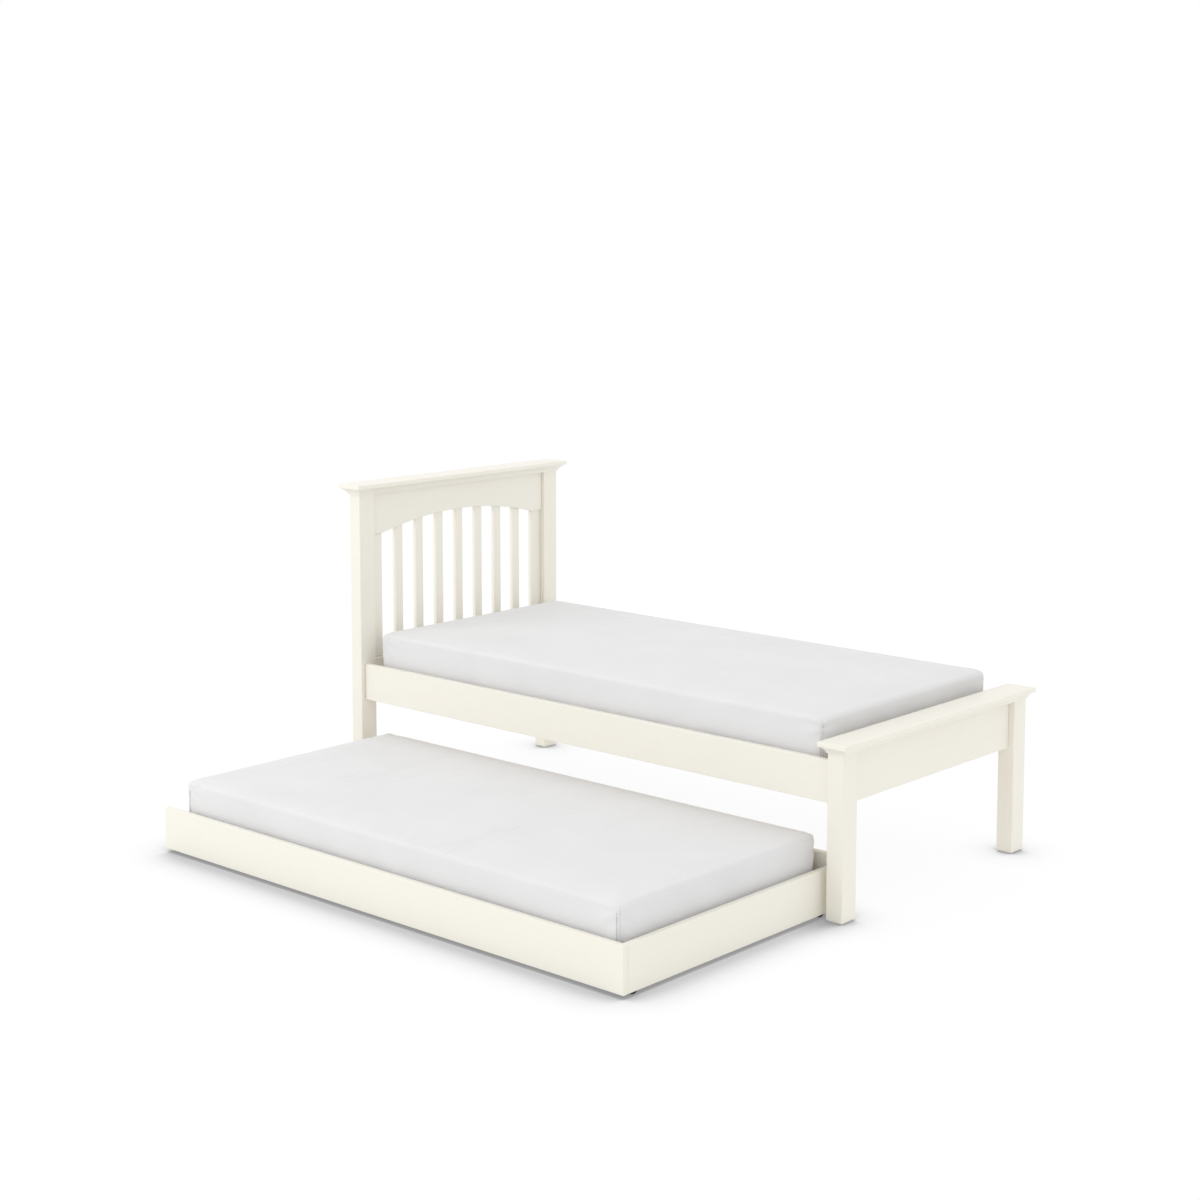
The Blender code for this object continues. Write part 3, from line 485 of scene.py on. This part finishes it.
def headsAt(name, spots, finish, body, kind, seed):
    mesh = bpy.data.meshes.new(name + "Points")
    mesh.from_pydata([spot for spot, _ in spots], [], [])
    aims = mesh.attributes.new("aim", "FLOAT_VECTOR", "POINT")
    aims.data.foreach_set("vector", [c for _, aim in spots for c in aim])
    result = grown(name, mesh, headTree, {
        "Head Radius": kind["radius"], "Head Height": kind["height"], "Recess Width": kind["recess"],
        "Recess Length": kind["radius"] * fastener["recessReach"], "Seed": seed, "Finish": finish})
    result.set_sharp_from_angle(angle=math.radians(fastener["sharp"]))
    return newPiece(name, result, None, body)


# fasteners: slat screws, bracket screws, castor screws and axle rivets
screw = {"radius": 0.0042, "height": 0.0016, "recess": 0.0010, "proud": 0.0002, "fromEnd": 0.012}
bracketScrew = {
    "radius": 0.0040, "height": 0.0016, "recess": 0.0010, "steel": 0.003, "fromEdge": 0.013,
    "alongRail": (0.022, 0.040), "alongPost": 0.018}
castorScrew = {"radius": 0.0036, "height": 0.0014, "recess": 0.0009, "fromEnd": 0.0075, "down": 0.0044}
rivet = {"radius": 0.0042, "height": 0.0012, "recess": 0.00002, "out": 0.0115}


def slatScrews(prefix, count, pattern, body):
    spots = []
    for index in range(1, count + 1):
        low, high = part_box(pattern.format(index))
        z = high.z + screw["proud"] - screw["height"] / 2
        for y in (low.y + screw["fromEnd"], high.y - screw["fromEnd"]):
            spots.append((((low.x + high.x) / 2, y, z), (0, 0, 1)))
    headsAt(prefix + "SlatScrews", spots, finishes["steel"], body, screw, 3)
    return len(spots)


slatHeads = slatScrews("bed", 10, "bed_slat_{:02d}", "bed_frame")
slatHeads += slatScrews("trundle", 6, "trundle_slat_{}", "trundle")

bracketSpots = []
for side, inward in (("front", 1), ("back", -1)):
    for end, along in (("head", 1), ("foot", -1)):
        low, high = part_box(f"corner_bracket_{side}_{end}")
        rest = bracketScrew["steel"] + screw["proud"] * 2
        startX = low.x if along > 0 else high.x
        startY = low.y if inward > 0 else high.y
        for z in (low.z + bracketScrew["fromEdge"], high.z - bracketScrew["fromEdge"]):
            for reach in bracketScrew["alongRail"]:
                bracketSpots.append(((startX + along * reach, startY + inward * rest, z), (0, inward, 0)))
            bracketSpots.append((
                (startX + along * rest, startY + inward * bracketScrew["alongPost"], z), (along, 0, 0)))
headsAt("bracketScrews", bracketSpots, finishes["steel"], "bed_frame", bracketScrew, 5)

castorSpots = []
rivetSpots = []
for side in ("front", "back"):
    for end in ("head", "foot"):
        low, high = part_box(f"castor_bracket_{side}_{end}")
        wheelLow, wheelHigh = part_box(f"castor_wheel_{side}_{end}")
        wheelMiddle = (wheelLow + wheelHigh) / 2
        for y in (low.y + castorScrew["fromEnd"], high.y - castorScrew["fromEnd"]):
            castorSpots.append((((low.x + high.x) / 2, y, high.z - castorScrew["down"]), (0, 0, -1)))
        for sign in (-1, 1):
            rivetSpots.append((
                (wheelMiddle.x + sign * rivet["out"], wheelMiddle.y, wheelMiddle.z), (sign, 0, 0)))
headsAt("castorScrews", castorSpots, finishes["steel"], "trundle", castorScrew, 7)
headsAt("castorRivets", rivetSpots, finishes["castorSteel"], "trundle", rivet, 9)
print("fasteners made:", slatHeads + len(bracketSpots) + len(castorSpots) + len(rivetSpots))


# castor wheels: a rounded tread, a dished web and a hub round the axle
wheel = {
    "radius": 0.020, "width": 0.016, "bore": 0.0034, "hub": 0.0065, "rim": 0.0150, "dish": 0.0026,
    "tread": 0.0035, "treadSteps": 8, "steps": 56, "sharp": 38, "hubEdge": 0.0005, "hubEase": 0.0006,
    "rimEase": 0.0008, "rimEdge": 0.0003}


def wheelProfile():
    half = wheel["width"] / 2
    points = [(-half, wheel["bore"]), (half, wheel["bore"])]
    web = half - wheel["dish"]
    points += [
        (half, wheel["hub"] - wheel["hubEdge"]), (half - wheel["hubEase"], wheel["hub"]),
        (web, wheel["hub"] + wheel["hubEase"]), (web, wheel["rim"] - wheel["rimEase"]),
        (half - wheel["rimEase"], wheel["rim"]), (half - wheel["rimEdge"], wheel["rim"] + wheel["rimEase"])]
    for step in range(wheel["treadSteps"] + 1):
        angle = math.pi / 2 * step / wheel["treadSteps"]
        x = half - wheel["tread"] * (1 - math.cos(angle))
        points.append((x, wheel["radius"] - wheel["tread"] * (1 - math.sin(angle))))
    mirrored = [(-x, r) for x, r in reversed(points[2:])]
    return points + mirrored


def makeWheel(node, pieceName, body):
    low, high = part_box(node)
    middle = (low + high) / 2
    profile = wheelProfile()
    points = []
    for step in range(wheel["steps"]):
        angle = 2 * math.pi * step / wheel["steps"]
        for x, radius in profile:
            y = middle.y + radius * math.cos(angle)
            points.append((middle.x + x, y, middle.z + radius * math.sin(angle)))
    count = len(profile)
    faces = []
    for step in range(wheel["steps"]):
        here, there = step * count, (step + 1) % wheel["steps"] * count
        for i in range(count):
            j = (i + 1) % count
            faces.append((here + i, here + j, there + j, there + i))
    mesh = meshFrom(pieceName, points, faces)
    mesh.flip_normals()
    mesh.set_sharp_from_angle(angle=math.radians(wheel["sharp"]))
    piece = newPiece(pieceName, mesh, finishes["castorPlastic"], body)
    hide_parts(node)


for side in ("front", "back"):
    for end in ("head", "foot"):
        pieceName = f"castorWheel{side.title()}{end.title()}"
        makeWheel(f"castor_wheel_{side}_{end}", pieceName, f"wheel_{side}_{end}")
print("castor wheels made")


bendSteps = 3


# a closed box of quads with round edges, its rows closer together along the edges
def edgeRows(low, high, radius, step):
    bend = [radius * (1 - math.tan(math.pi / 4 * (1 - c / bendSteps))) for c in range(bendSteps + 1)]
    cells = max(2, round((high - low - 2 * radius) / step))
    inner = [low + radius + (high - low - 2 * radius) * i / cells for i in range(1, cells)]
    return [low + b for b in bend] + inner + [high - b for b in reversed(bend)]


def roundedBox(low, high, radius, step):
    rows = [edgeRows(low[i], high[i], radius, step) for i in range(3)]
    last = [len(r) - 1 for r in rows]
    index, points, faces = {}, [], []

    def at(*place):
        if place not in index:
            index[place] = len(points)
            points.append([rows[i][place[i]] for i in range(3)])
        return index[place]

    for axis in range(3):
        one, two = (axis + 1) % 3, (axis + 2) % 3
        for end in (0, last[axis]):
            for i in range(last[one]):
                for j in range(last[two]):
                    corners = []
                    for di, dj in ((0, 0), (1, 0), (1, 1), (0, 1)):
                        place = [0, 0, 0]
                        place[axis], place[one], place[two] = end, i + di, j + dj
                        corners.append(at(*place))
                    faces.append(tuple(corners if end else reversed(corners)))
    points = np.array(points)
    inner = np.clip(points, np.array(low) + radius, np.array(high) - radius)
    away = points - inner
    length = np.linalg.norm(away, axis=1)
    points = inner + away * (radius / np.maximum(length, 1e-9))[:, None]
    return points, faces


foam = {
    "quality": 4, "mass": 0.25, "stretch": 12, "shear": 6, "bending": 1.5, "pressure": 4.0, "frames": 16,
    "quickShare": 0.8}


# swells a closed mesh with Cloth, and lets no point move further than the limit
def inflate(piece, limit):
    rest = np.array([v.co[:] for v in piece.data.vertices])
    cloth = piece.modifiers.new("swell", "CLOTH")
    settings = cloth.settings
    settings.quality = foam["quality"]
    settings.mass = foam["mass"]
    settings.tension_stiffness = foam["stretch"]
    settings.compression_stiffness = foam["stretch"]
    settings.shear_stiffness = foam["shear"]
    settings.bending_stiffness = foam["bending"]
    settings.use_pressure = True
    settings.uniform_pressure_force = foam["pressure"]
    settings.effector_weights.gravity = 0
    cloth.point_cache.frame_start = 1
    cloth.point_cache.frame_end = foam["frames"]
    for number in range(1, foam["frames"] + 1):
        scene.frame_set(number)
    result = piece.evaluated_get(bpy.context.evaluated_depsgraph_get())
    moved = np.array([v.co[:] for v in result.data.vertices])
    piece.modifiers.remove(cloth)
    scene.frame_set(1)
    step = moved - rest
    length = np.maximum(np.linalg.norm(step, axis=1), 1e-9)
    return rest + step * np.minimum(1.0, limit / length)[:, None]


# creases across the top: place along and across (0 to 1), turn from the cross direction, length,
# width and height
creases = {
    "bed": [
        (0.13, 0.8, 5, 0.34, 0.0085, 0.0026), (0.165, 0.74, 7, 0.42, 0.0093, 0.003),
        (0.2, 0.82, 9, 0.3, 0.0076, 0.0026), (0.235, 0.7, 11, 0.4, 0.0102, 0.0028),
        (0.28, 0.78, 13, 0.34, 0.0085, 0.0026), (0.32, 0.66, 10, 0.3, 0.0102, 0.002),
        (0.09, 0.55, 3, 0.4, 0.011, 0.002), (0.4, 0.8, 12, 0.22, 0.0085, 0.0016),
        (0.56, 0.86, 10, 0.22, 0.0076, 0.0024), (0.6, 0.78, 16, 0.28, 0.0085, 0.0026),
        (0.64, 0.88, 8, 0.2, 0.0068, 0.0022), (0.67, 0.74, 20, 0.22, 0.0085, 0.0018),
        (0.78, 0.8, -10, 0.26, 0.0102, 0.0016), (0.9, 0.7, -14, 0.3, 0.011, 0.0018),
        (0.45, 0.3, 24, 0.3, 0.017, 0.0018), (0.72, 0.25, -18, 0.3, 0.017, 0.0016),
    ],
    "trundle": [
        (0.055, 0.52, 2, 0.66, 0.0085, 0.0022), (0.085, 0.6, 4, 0.56, 0.0093, 0.0022),
        (0.12, 0.7, 6, 0.44, 0.0093, 0.0019), (0.16, 0.76, 8, 0.36, 0.0085, 0.0016),
        (0.24, 0.3, 14, 0.34, 0.0153, 0.0013), (0.42, 0.62, 20, 0.28, 0.0136, 0.0011),
        (0.56, 0.4, -16, 0.3, 0.0153, 0.0011), (0.74, 0.55, -10, 0.34, 0.0136, 0.0013),
        (0.9, 0.62, -8, 0.34, 0.0102, 0.0016), (0.94, 0.36, 10, 0.34, 0.0102, 0.0016),
    ],
}


def smoothStep(value):
    value = np.clip(value, 0.0, 1.0)
    return value * value * (3 - 2 * value)


creaseShape = {
    "wander": 0.012, "wanderTurn": 9, "wanderStart": 40, "dip": 0.45, "dipPlace": 1.5, "dipWidth": 1.3}


# soft ridge, steeper on one side, that fades towards both ends
def creaseLift(points, low, high, crease):
    along, across, turn, length, width, height = crease
    centre = np.array([low.x + (high.x - low.x) * along, low.y + (high.y - low.y) * across])
    angle = math.radians(90 - turn)
    direction = np.array([math.cos(angle), math.sin(angle)])
    away = points[:, :2] - centre
    run = away @ direction
    wander = np.sin(run * creaseShape["wanderTurn"] + along * creaseShape["wanderStart"])
    off = away @ np.array([-direction[1], direction[0]]) + creaseShape["wander"] * wander
    besides = (off - creaseShape["dipPlace"] * width) / (creaseShape["dipWidth"] * width)
    shape = np.exp(-(off / width) ** 2) - creaseShape["dip"] * np.exp(-besides ** 2)
    return height * shape * np.exp(-(run / (0.5 * length)) ** 4)


pucker = {
    "height": 0.0015, "reach": 0.050, "down": 0.030, "pleats": 7, "pleatShare": 0.7, "ear": 1.4,
    "earReach": 0.012}


# radial pleats round the top of each corner seam, and a little ear on the seam itself
def puckerLift(points, corner):
    away = points - np.array(corner)
    distance = np.linalg.norm(away, axis=1)
    turn = np.arctan2(away[:, 2], away[:, 0] + away[:, 1] * np.sign(corner[1] - 0.01))
    ear = pucker["ear"] * np.exp(-(distance / pucker["earReach"]) ** 2)
    reached = distance / pucker["reach"]
    pleats = np.cos(turn * pucker["pleats"]) * reached * np.exp(1 - reached ** 2)
    return pucker["height"] * (ear + pleats * pucker["pleatShare"])


def subdivided(name, points, faces):
    mesh = meshFrom(name, points, faces)
    piece = bpy.data.objects.new(name + "Fine", mesh)
    scene.collection.objects.link(piece)
    modifier = piece.modifiers.new("fine", "SUBSURF")
    modifier.levels = 1
    modifier.render_levels = 1
    fine = bpy.data.meshes.new_from_object(piece.evaluated_get(bpy.context.evaluated_depsgraph_get()))
    bpy.data.objects.remove(piece)
    return fine


def pointArray(mesh, what="co"):
    values = np.zeros(len(mesh.vertices) * 3, np.float32)
    mesh.vertices.foreach_get(what, values)
    return values.reshape(-1, 3).astype(float)


# turns a box's upright corners from square to round, without moving its sides
def roundCorners(points, low, high, radii):
    for signX, radius in radii.items():
        for signY in (-1, 1):
            centre = np.array([
                (low[0] if signX < 0 else high[0]) - signX * radius,
                (low[1] if signY < 0 else high[1]) - signY * radius])
            away = (points[:, :2] - centre) * np.array([signX, signY])
            inside = (away > 0).all(axis=1)
            part = away[inside]
            pull = part.max(axis=1) / np.linalg.norm(part, axis=1)
            points[inside, :2] = centre + part * pull[:, None] * np.array([signX, signY])
    return points


tube = {"sides": 8, "tip": 0.3, "tipStep": 0.35, "tuckFrom": 4, "tuckReach": 1.8}


# a tube through the points, tapered away at both ends, and thicker near the last one, where it is tucked
def tubeAlong(points, radius, tuck):
    sides = tube["sides"]
    points = [Vector(p) for p in points]
    rings, faces = [], []
    for index, point in enumerate(points):
        ahead = points[min(index + 1, len(points) - 1)] - points[max(index - 1, 0)]
        ahead.normalize()
        side = (side - ahead * side.dot(ahead)).normalized() if index else ahead.orthogonal().normalized()
        up = ahead.cross(side)
        share = min(1.0, tube["tip"] + tube["tipStep"] * min(index, len(points) - 1 - index))
        fromTuck = (len(points) - tube["tuckFrom"] - index) / tube["tuckReach"]
        share *= 1 + (tuck - 1) * math.exp(-fromTuck ** 2)
        ring = [point + (side * math.cos(a) + up * math.sin(a)) * radius * share
                for a in (2 * math.pi * s / sides for s in range(sides))]
        rings.append(ring)
    flat = [p for ring in rings for p in ring]
    for level in range(len(rings) - 1):
        for s in range(sides):
            t = (s + 1) % sides
            here, there = level * sides, (level + 1) * sides
            faces.append((here + s, here + t, there + t, there + s))
    faces.append(tuple(reversed(range(sides))))
    faces.append(tuple(range((len(rings) - 1) * sides, len(rings) * sides)))
    return flat, faces


# a closed loop of edges round the inside of a box's outline, at one height
def loopMesh(name, low, high, inset, z, kind):
    middle = (low + high) / 2
    half = (high - low) / 2
    loop = cornerRing(half.x - inset, half.y - inset, kind["corner"], z, kind["cornerSteps"])
    mesh = bpy.data.meshes.new(name)
    mesh.from_pydata([(x + middle.x, y + middle.y, z) for x, y, z in loop],
                     [(i, (i + 1) % len(loop)) for i in range(len(loop))], [])
    return mesh


# the mattress's corners are sharper at its head end (-1) than at its foot end (1)
mattress = {
    "step": 0.0138, "edge": 0.012, "corner": {-1: 0.010, 1: 0.033}, "inset": 0.003, "lift": 0.0004,
    "swell": 0.005, "roll": 0.060, "rollFrom": 0.375, "drop": 0.0032, "cornerDrop": 1.3, "fill": 0.9}
piping = {
    "radius": 0.0032, "inset": 0.0075, "corner": 0.034, "cornerSteps": 8, "height": 0.009, "spacing": 0.010}


# foam stays flat underneath, swells at its sides and rolls off softly along its top edges
def makeMattress(prefix, body, low, high):
    startLow = [low[i] + mattress["inset"] for i in range(3)]
    startHigh = [high[i] - mattress["inset"] for i in range(3)]
    startLow[2] = low.z + mattress["lift"]
    points, faces = roundedBox(startLow, startHigh, mattress["edge"], mattress["step"])
    points = roundCorners(points, startLow, startHigh, mattress["corner"])
    coreMesh = meshFrom(prefix + "Core", points, faces)
    core = newPiece(prefix + "MattressCore", coreMesh, finishes["ticking"], None)
    points = inflate(core, mattress["swell"])
    bpy.data.objects.remove(core)
    points[:, 2] = np.maximum(points[:, 2], low.z)
    edgeX = np.minimum(points[:, 0] - low.x, high.x - points[:, 0])
    edgeY = np.minimum(points[:, 1] - low.y, high.y - points[:, 1])
    nearEdge = (1 - smoothStep(edgeX / mattress["roll"])) + (1 - smoothStep(edgeY / mattress["roll"]))
    tall = (points[:, 2] - low.z) / (high.z - low.z)
    topShare = smoothStep((tall - mattress["rollFrom"]) / (1 - mattress["rollFrom"]))
    points[:, 2] -= mattress["drop"] * np.minimum(nearEdge, mattress["cornerDrop"]) * topShare
    fine = subdivided(prefix + "Mattress", points, faces)
    piece = newPiece(prefix + "Mattress", fine, finishes["ticking"], body)
    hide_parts(prefix + "_mattress")

    # piping round the bottom edge
    height = low.z + piping["height"]
    loop = loopMesh(prefix + "PipingLoop", low, high, piping["inset"], height, piping)
    result = grown(prefix + "Piping", loop, pipingTree, {
        "Radius": piping["radius"], "Spacing": piping["spacing"], "Wave Height": 0.0, "Wave Turn": 0.0,
        "Finish": finishes["piping"]})
    newPiece(prefix + "MattressPiping", result, None, body)
    print(prefix, "mattress made:", len(fine.vertices), "points")
    return points, faces


sheetCloth = {
    "offset": 0.0017, "under": 0.0011, "turned": 0.050, "sideFrom": 0.004, "topFacing": 0.6,
    "facingRange": 0.35, "underFacing": -0.5, "lowest": 0.0001, "highest": 0.004, "cornerCut": 0.75}
slack = {"height": 0.0009, "slant": 1.3, "turn": 23, "wander": 2.1, "wanderTurn": 5.3, "rise": 3.0}
gather = {"height": {"bed": 0.0012, "trundle": 0.0030}, "inset": (0.008, 0.010, 0.010), "reach": 0.018}


# the sheet follows the swollen mattress, a cloth's thickness outside it, and turns under it
def makeSheet(prefix, body, low, high, corners, points, faces):
    sheetLow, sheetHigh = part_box(prefix + "_fitted_sheet")
    kept = []
    for face in faces:
        centre = points[list(face)].mean(axis=0)
        rim = min(centre[0] - low.x, high.x - centre[0], centre[1] - low.y, high.y - centre[1])
        if centre[2] > low.z + sheetCloth["sideFrom"] or rim < sheetCloth["turned"]:
            kept.append(face)
    used = sorted({i for face in kept for i in face})
    renumber = {old: new for new, old in enumerate(used)}
    kept = [tuple(renumber[i] for i in face) for face in kept]
    cloth = subdivided(prefix + "Sheet", points[used], kept)
    place = pointArray(cloth)
    normal = pointArray(cloth, "normal")
    lift = np.full(len(place), sheetCloth["offset"])
    upward = smoothStep((normal[:, 2] - sheetCloth["topFacing"]) / sheetCloth["facingRange"])
    for crease in creases[prefix]:
        lift += creaseLift(place, low, high, crease) * upward
    # slack along the side walls, as long shallow waves that fade towards the hem
    wall = 1 - np.abs(normal[:, 2])
    around = place[:, 0] + place[:, 1] * slack["slant"]
    tall = (place[:, 2] - low.z) / (high.z - low.z)
    wander = slack["wander"] * np.sin(around * slack["wanderTurn"])
    waves = np.sin(around * slack["turn"] + wander + tall * slack["rise"])
    lift += wall * slack["height"] * waves * np.sin(np.pi * np.clip(tall, 0, 1))
    for corner in corners:
        lift += puckerLift(place, corner)
    # cloth gathered at the corner by the foot end and the back
    gathered = np.array(high) - np.array(gather["inset"])
    distance = np.linalg.norm(place - gathered, axis=1)
    lift += gather["height"][prefix] * np.exp(-(distance / gather["reach"]) ** 2)
    lift = np.where(normal[:, 2] < sheetCloth["underFacing"], sheetCloth["under"], lift)
    place += normal * lift[:, None]
    lowest, highest = sheetLow.z + sheetCloth["lowest"], sheetHigh.z + sheetCloth["highest"]
    place[:, 2] = np.clip(place[:, 2], lowest, highest)
    cloth.vertices.foreach_set("co", place.astype(np.float32).ravel())
    cloth.update()
    cloth.shade_smooth()
    sheet = newPiece(prefix + "FittedSheet", cloth, finishes["sheet"], body)
    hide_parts(prefix + "_fitted_sheet")
    return sheet, place


seam = {
    "inset": {"bed": 0.013, "trundle": 0.0235}, "shift": 0.0022, "radius": 0.0008, "tuck": 1.2,
    "steps": 26, "bottom": 0.012, "top": 0.001, "start": 0.1, "proud": 0.0002, "smooth": 6}
stitch = {"radius": 0.0005, "tuck": 1.8}


# corner seams: a narrow ridge and its line of stitches, from the top edge down to the hem; the stitches'
# grey is painted shade for the seam's groove
def makeSeams(prefix, body, low, high, corners, sheet, place):
    tree = BVHTree.FromPolygons([tuple(p) for p in place], [tuple(p.vertices) for p in sheet.data.polygons])
    pieces = []
    for kind, shift, given, finish in (
            ("Seams", seam["shift"], seam, "sheet"), ("StitchesPaintedShade", 0.0, stitch, "thread")):
        allPoints, allFaces = [], []
        for corner, sign in zip(corners, (-1, 1, -1, 1)):
            outward = 1 if corner[0] > 0 else -1
            path = []
            for step in range(seam["steps"]):
                share = step / (seam["steps"] - 1)
                z = low.z + seam["bottom"] + (high.z - low.z - seam["bottom"] - seam["top"]) * share
                start = Vector((corner[0] + outward * shift, corner[1] + sign * seam["start"], z))
                hit = tree.ray_cast(start, Vector((0, -sign, 0)))
                if hit[0] is not None:
                    path.append(hit[0] + hit[1] * seam["proud"])
            for _ in range(seam["smooth"]):
                path[1:-1] = [(a + b * 2 + c) / 4 for a, b, c in zip(path, path[1:], path[2:])]
            flat, sides = tubeAlong(path, given["radius"], given["tuck"])
            allFaces += [tuple(len(allPoints) + i for i in face) for face in sides]
            allPoints += flat
        mesh = meshFrom(prefix + kind, allPoints, allFaces)
        pieces.append(newPiece(prefix + "Sheet" + kind, mesh, finishes[finish], body))
    return pieces


hem = {
    "in": 0.010, "corner": 0.020, "cornerSteps": 6, "down": 0.0001, "radius": 0.0008, "spacing": 0.004,
    "wave": 0.0004, "waveTurn": 0.9}


# the hem's elastic, gathered up and down under the mattress
def makeHem(prefix, body, low, high):
    inset = sheetCloth["turned"] + hem["in"]
    loop = loopMesh(prefix + "HemLoop", low, high, inset, low.z - hem["down"], hem)
    result = grown(prefix + "Hem", loop, pipingTree, {
        "Radius": hem["radius"], "Spacing": hem["spacing"], "Wave Height": hem["wave"],
        "Wave Turn": hem["waveTurn"], "Finish": finishes["sheet"]})
    return newPiece(prefix + "SheetHem", result, None, body)


def makeBedding(prefix, body):
    low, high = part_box(prefix + "_mattress")
    corners = []
    for x, signX in ((low.x, 1), (high.x, -1)):
        for y in (low.y, high.y):
            corners.append((x + signX * seam["inset"][prefix], y, high.z - pucker["down"]))
    points, faces = makeMattress(prefix, body, low, high)
    sheet, place = makeSheet(prefix, body, low, high, corners, points, faces)
    sewn = makeSeams(prefix, body, low, high, corners, sheet, place)
    sewn.append(makeHem(prefix, body, low, high))


makeBedding("bed", "bed_frame")
makeBedding("trundle", "trundle")


# pale floor, a bright even room and a large soft lamp from the front and the head end
room = {
    "floor": 60.0, "floorDown": 0.0004, "world": 1.0, "keyPlace": (-3.6, -5.4, 5.0), "keyAim": (0, 0, 0.3),
    "keySize": 3.6, "keyPower": 108.0, "contactShadeReach": 0.17, "spread": 0.90}


# the floor shines evenly, with painted shade close to what stands on it: ambient occlusion, not the lamps,
# darkens its glowing colour
def makeFloorFinish():
    material, tree, shader = newFinish("paleFloor", (1, 1, 1), 0.9)
    tree.nodes.remove(shader)
    near = addNode(tree, "ShaderNodeAmbientOcclusion", {"samples": 12}, Distance=room["contactShadeReach"])
    wide = addNode(tree, "ShaderNodeAmbientOcclusion", {"samples": 12}, Distance=room["spread"])
    # painted contact shadow: the floor's glow falls to dark grey where something stands close
    shade = ramp(tree, near.outputs["AO"], [
        (0.0, (0.26, 0.26, 0.26)), (0.42, (0.38, 0.38, 0.38)), (0.60, (0.62, 0.62, 0.62)),
        (0.75, (0.86, 0.86, 0.86)), (0.87, (0.96, 0.96, 0.96)), (0.97, (1, 1, 1))])
    # painted broad shade: the floor's glow dims a little under the bed and near other things
    strength = mapped(tree, wide.outputs["AO"], low=0.95, high=1.01)
    shining = addNode(tree, "ShaderNodeEmission", Color=shade, Strength=strength)
    tree.links.new(shining.outputs[0], tree.nodes["Material Output"].inputs["Surface"])
    return material


half = room["floor"] / 2
floorCorners = [(-half, -half, 0), (half, -half, 0), (half, half, 0), (-half, half, 0)]
floorMesh = meshFrom("floor", floorCorners, [(0, 1, 2, 3)], False)
floor = newPiece("floor", floorMesh, makeFloorFinish(), None)
floor.location.z = -room["floorDown"]

world = bpy.data.worlds.new("room")
world.use_nodes = True
background = world.node_tree.nodes["Background"]
background.inputs["Color"].default_value = (1, 1, 1, 1)
background.inputs["Strength"].default_value = room["world"]
scene.world = world

lampData = bpy.data.lights.new("keyLamp", "AREA")
lampData.shape = "DISK"
lampData.size = room["keySize"]
lampData.energy = room["keyPower"]
lamp = bpy.data.objects.new("keyLamp", lampData)
lamp.location = room["keyPlace"]
lamp.rotation_euler = (Vector(room["keyAim"]) - lamp.location).to_track_quat("-Z", "Y").to_euler()
scene.collection.objects.link(lamp)
scene.view_settings.view_transform = "Standard"
print("room lit")
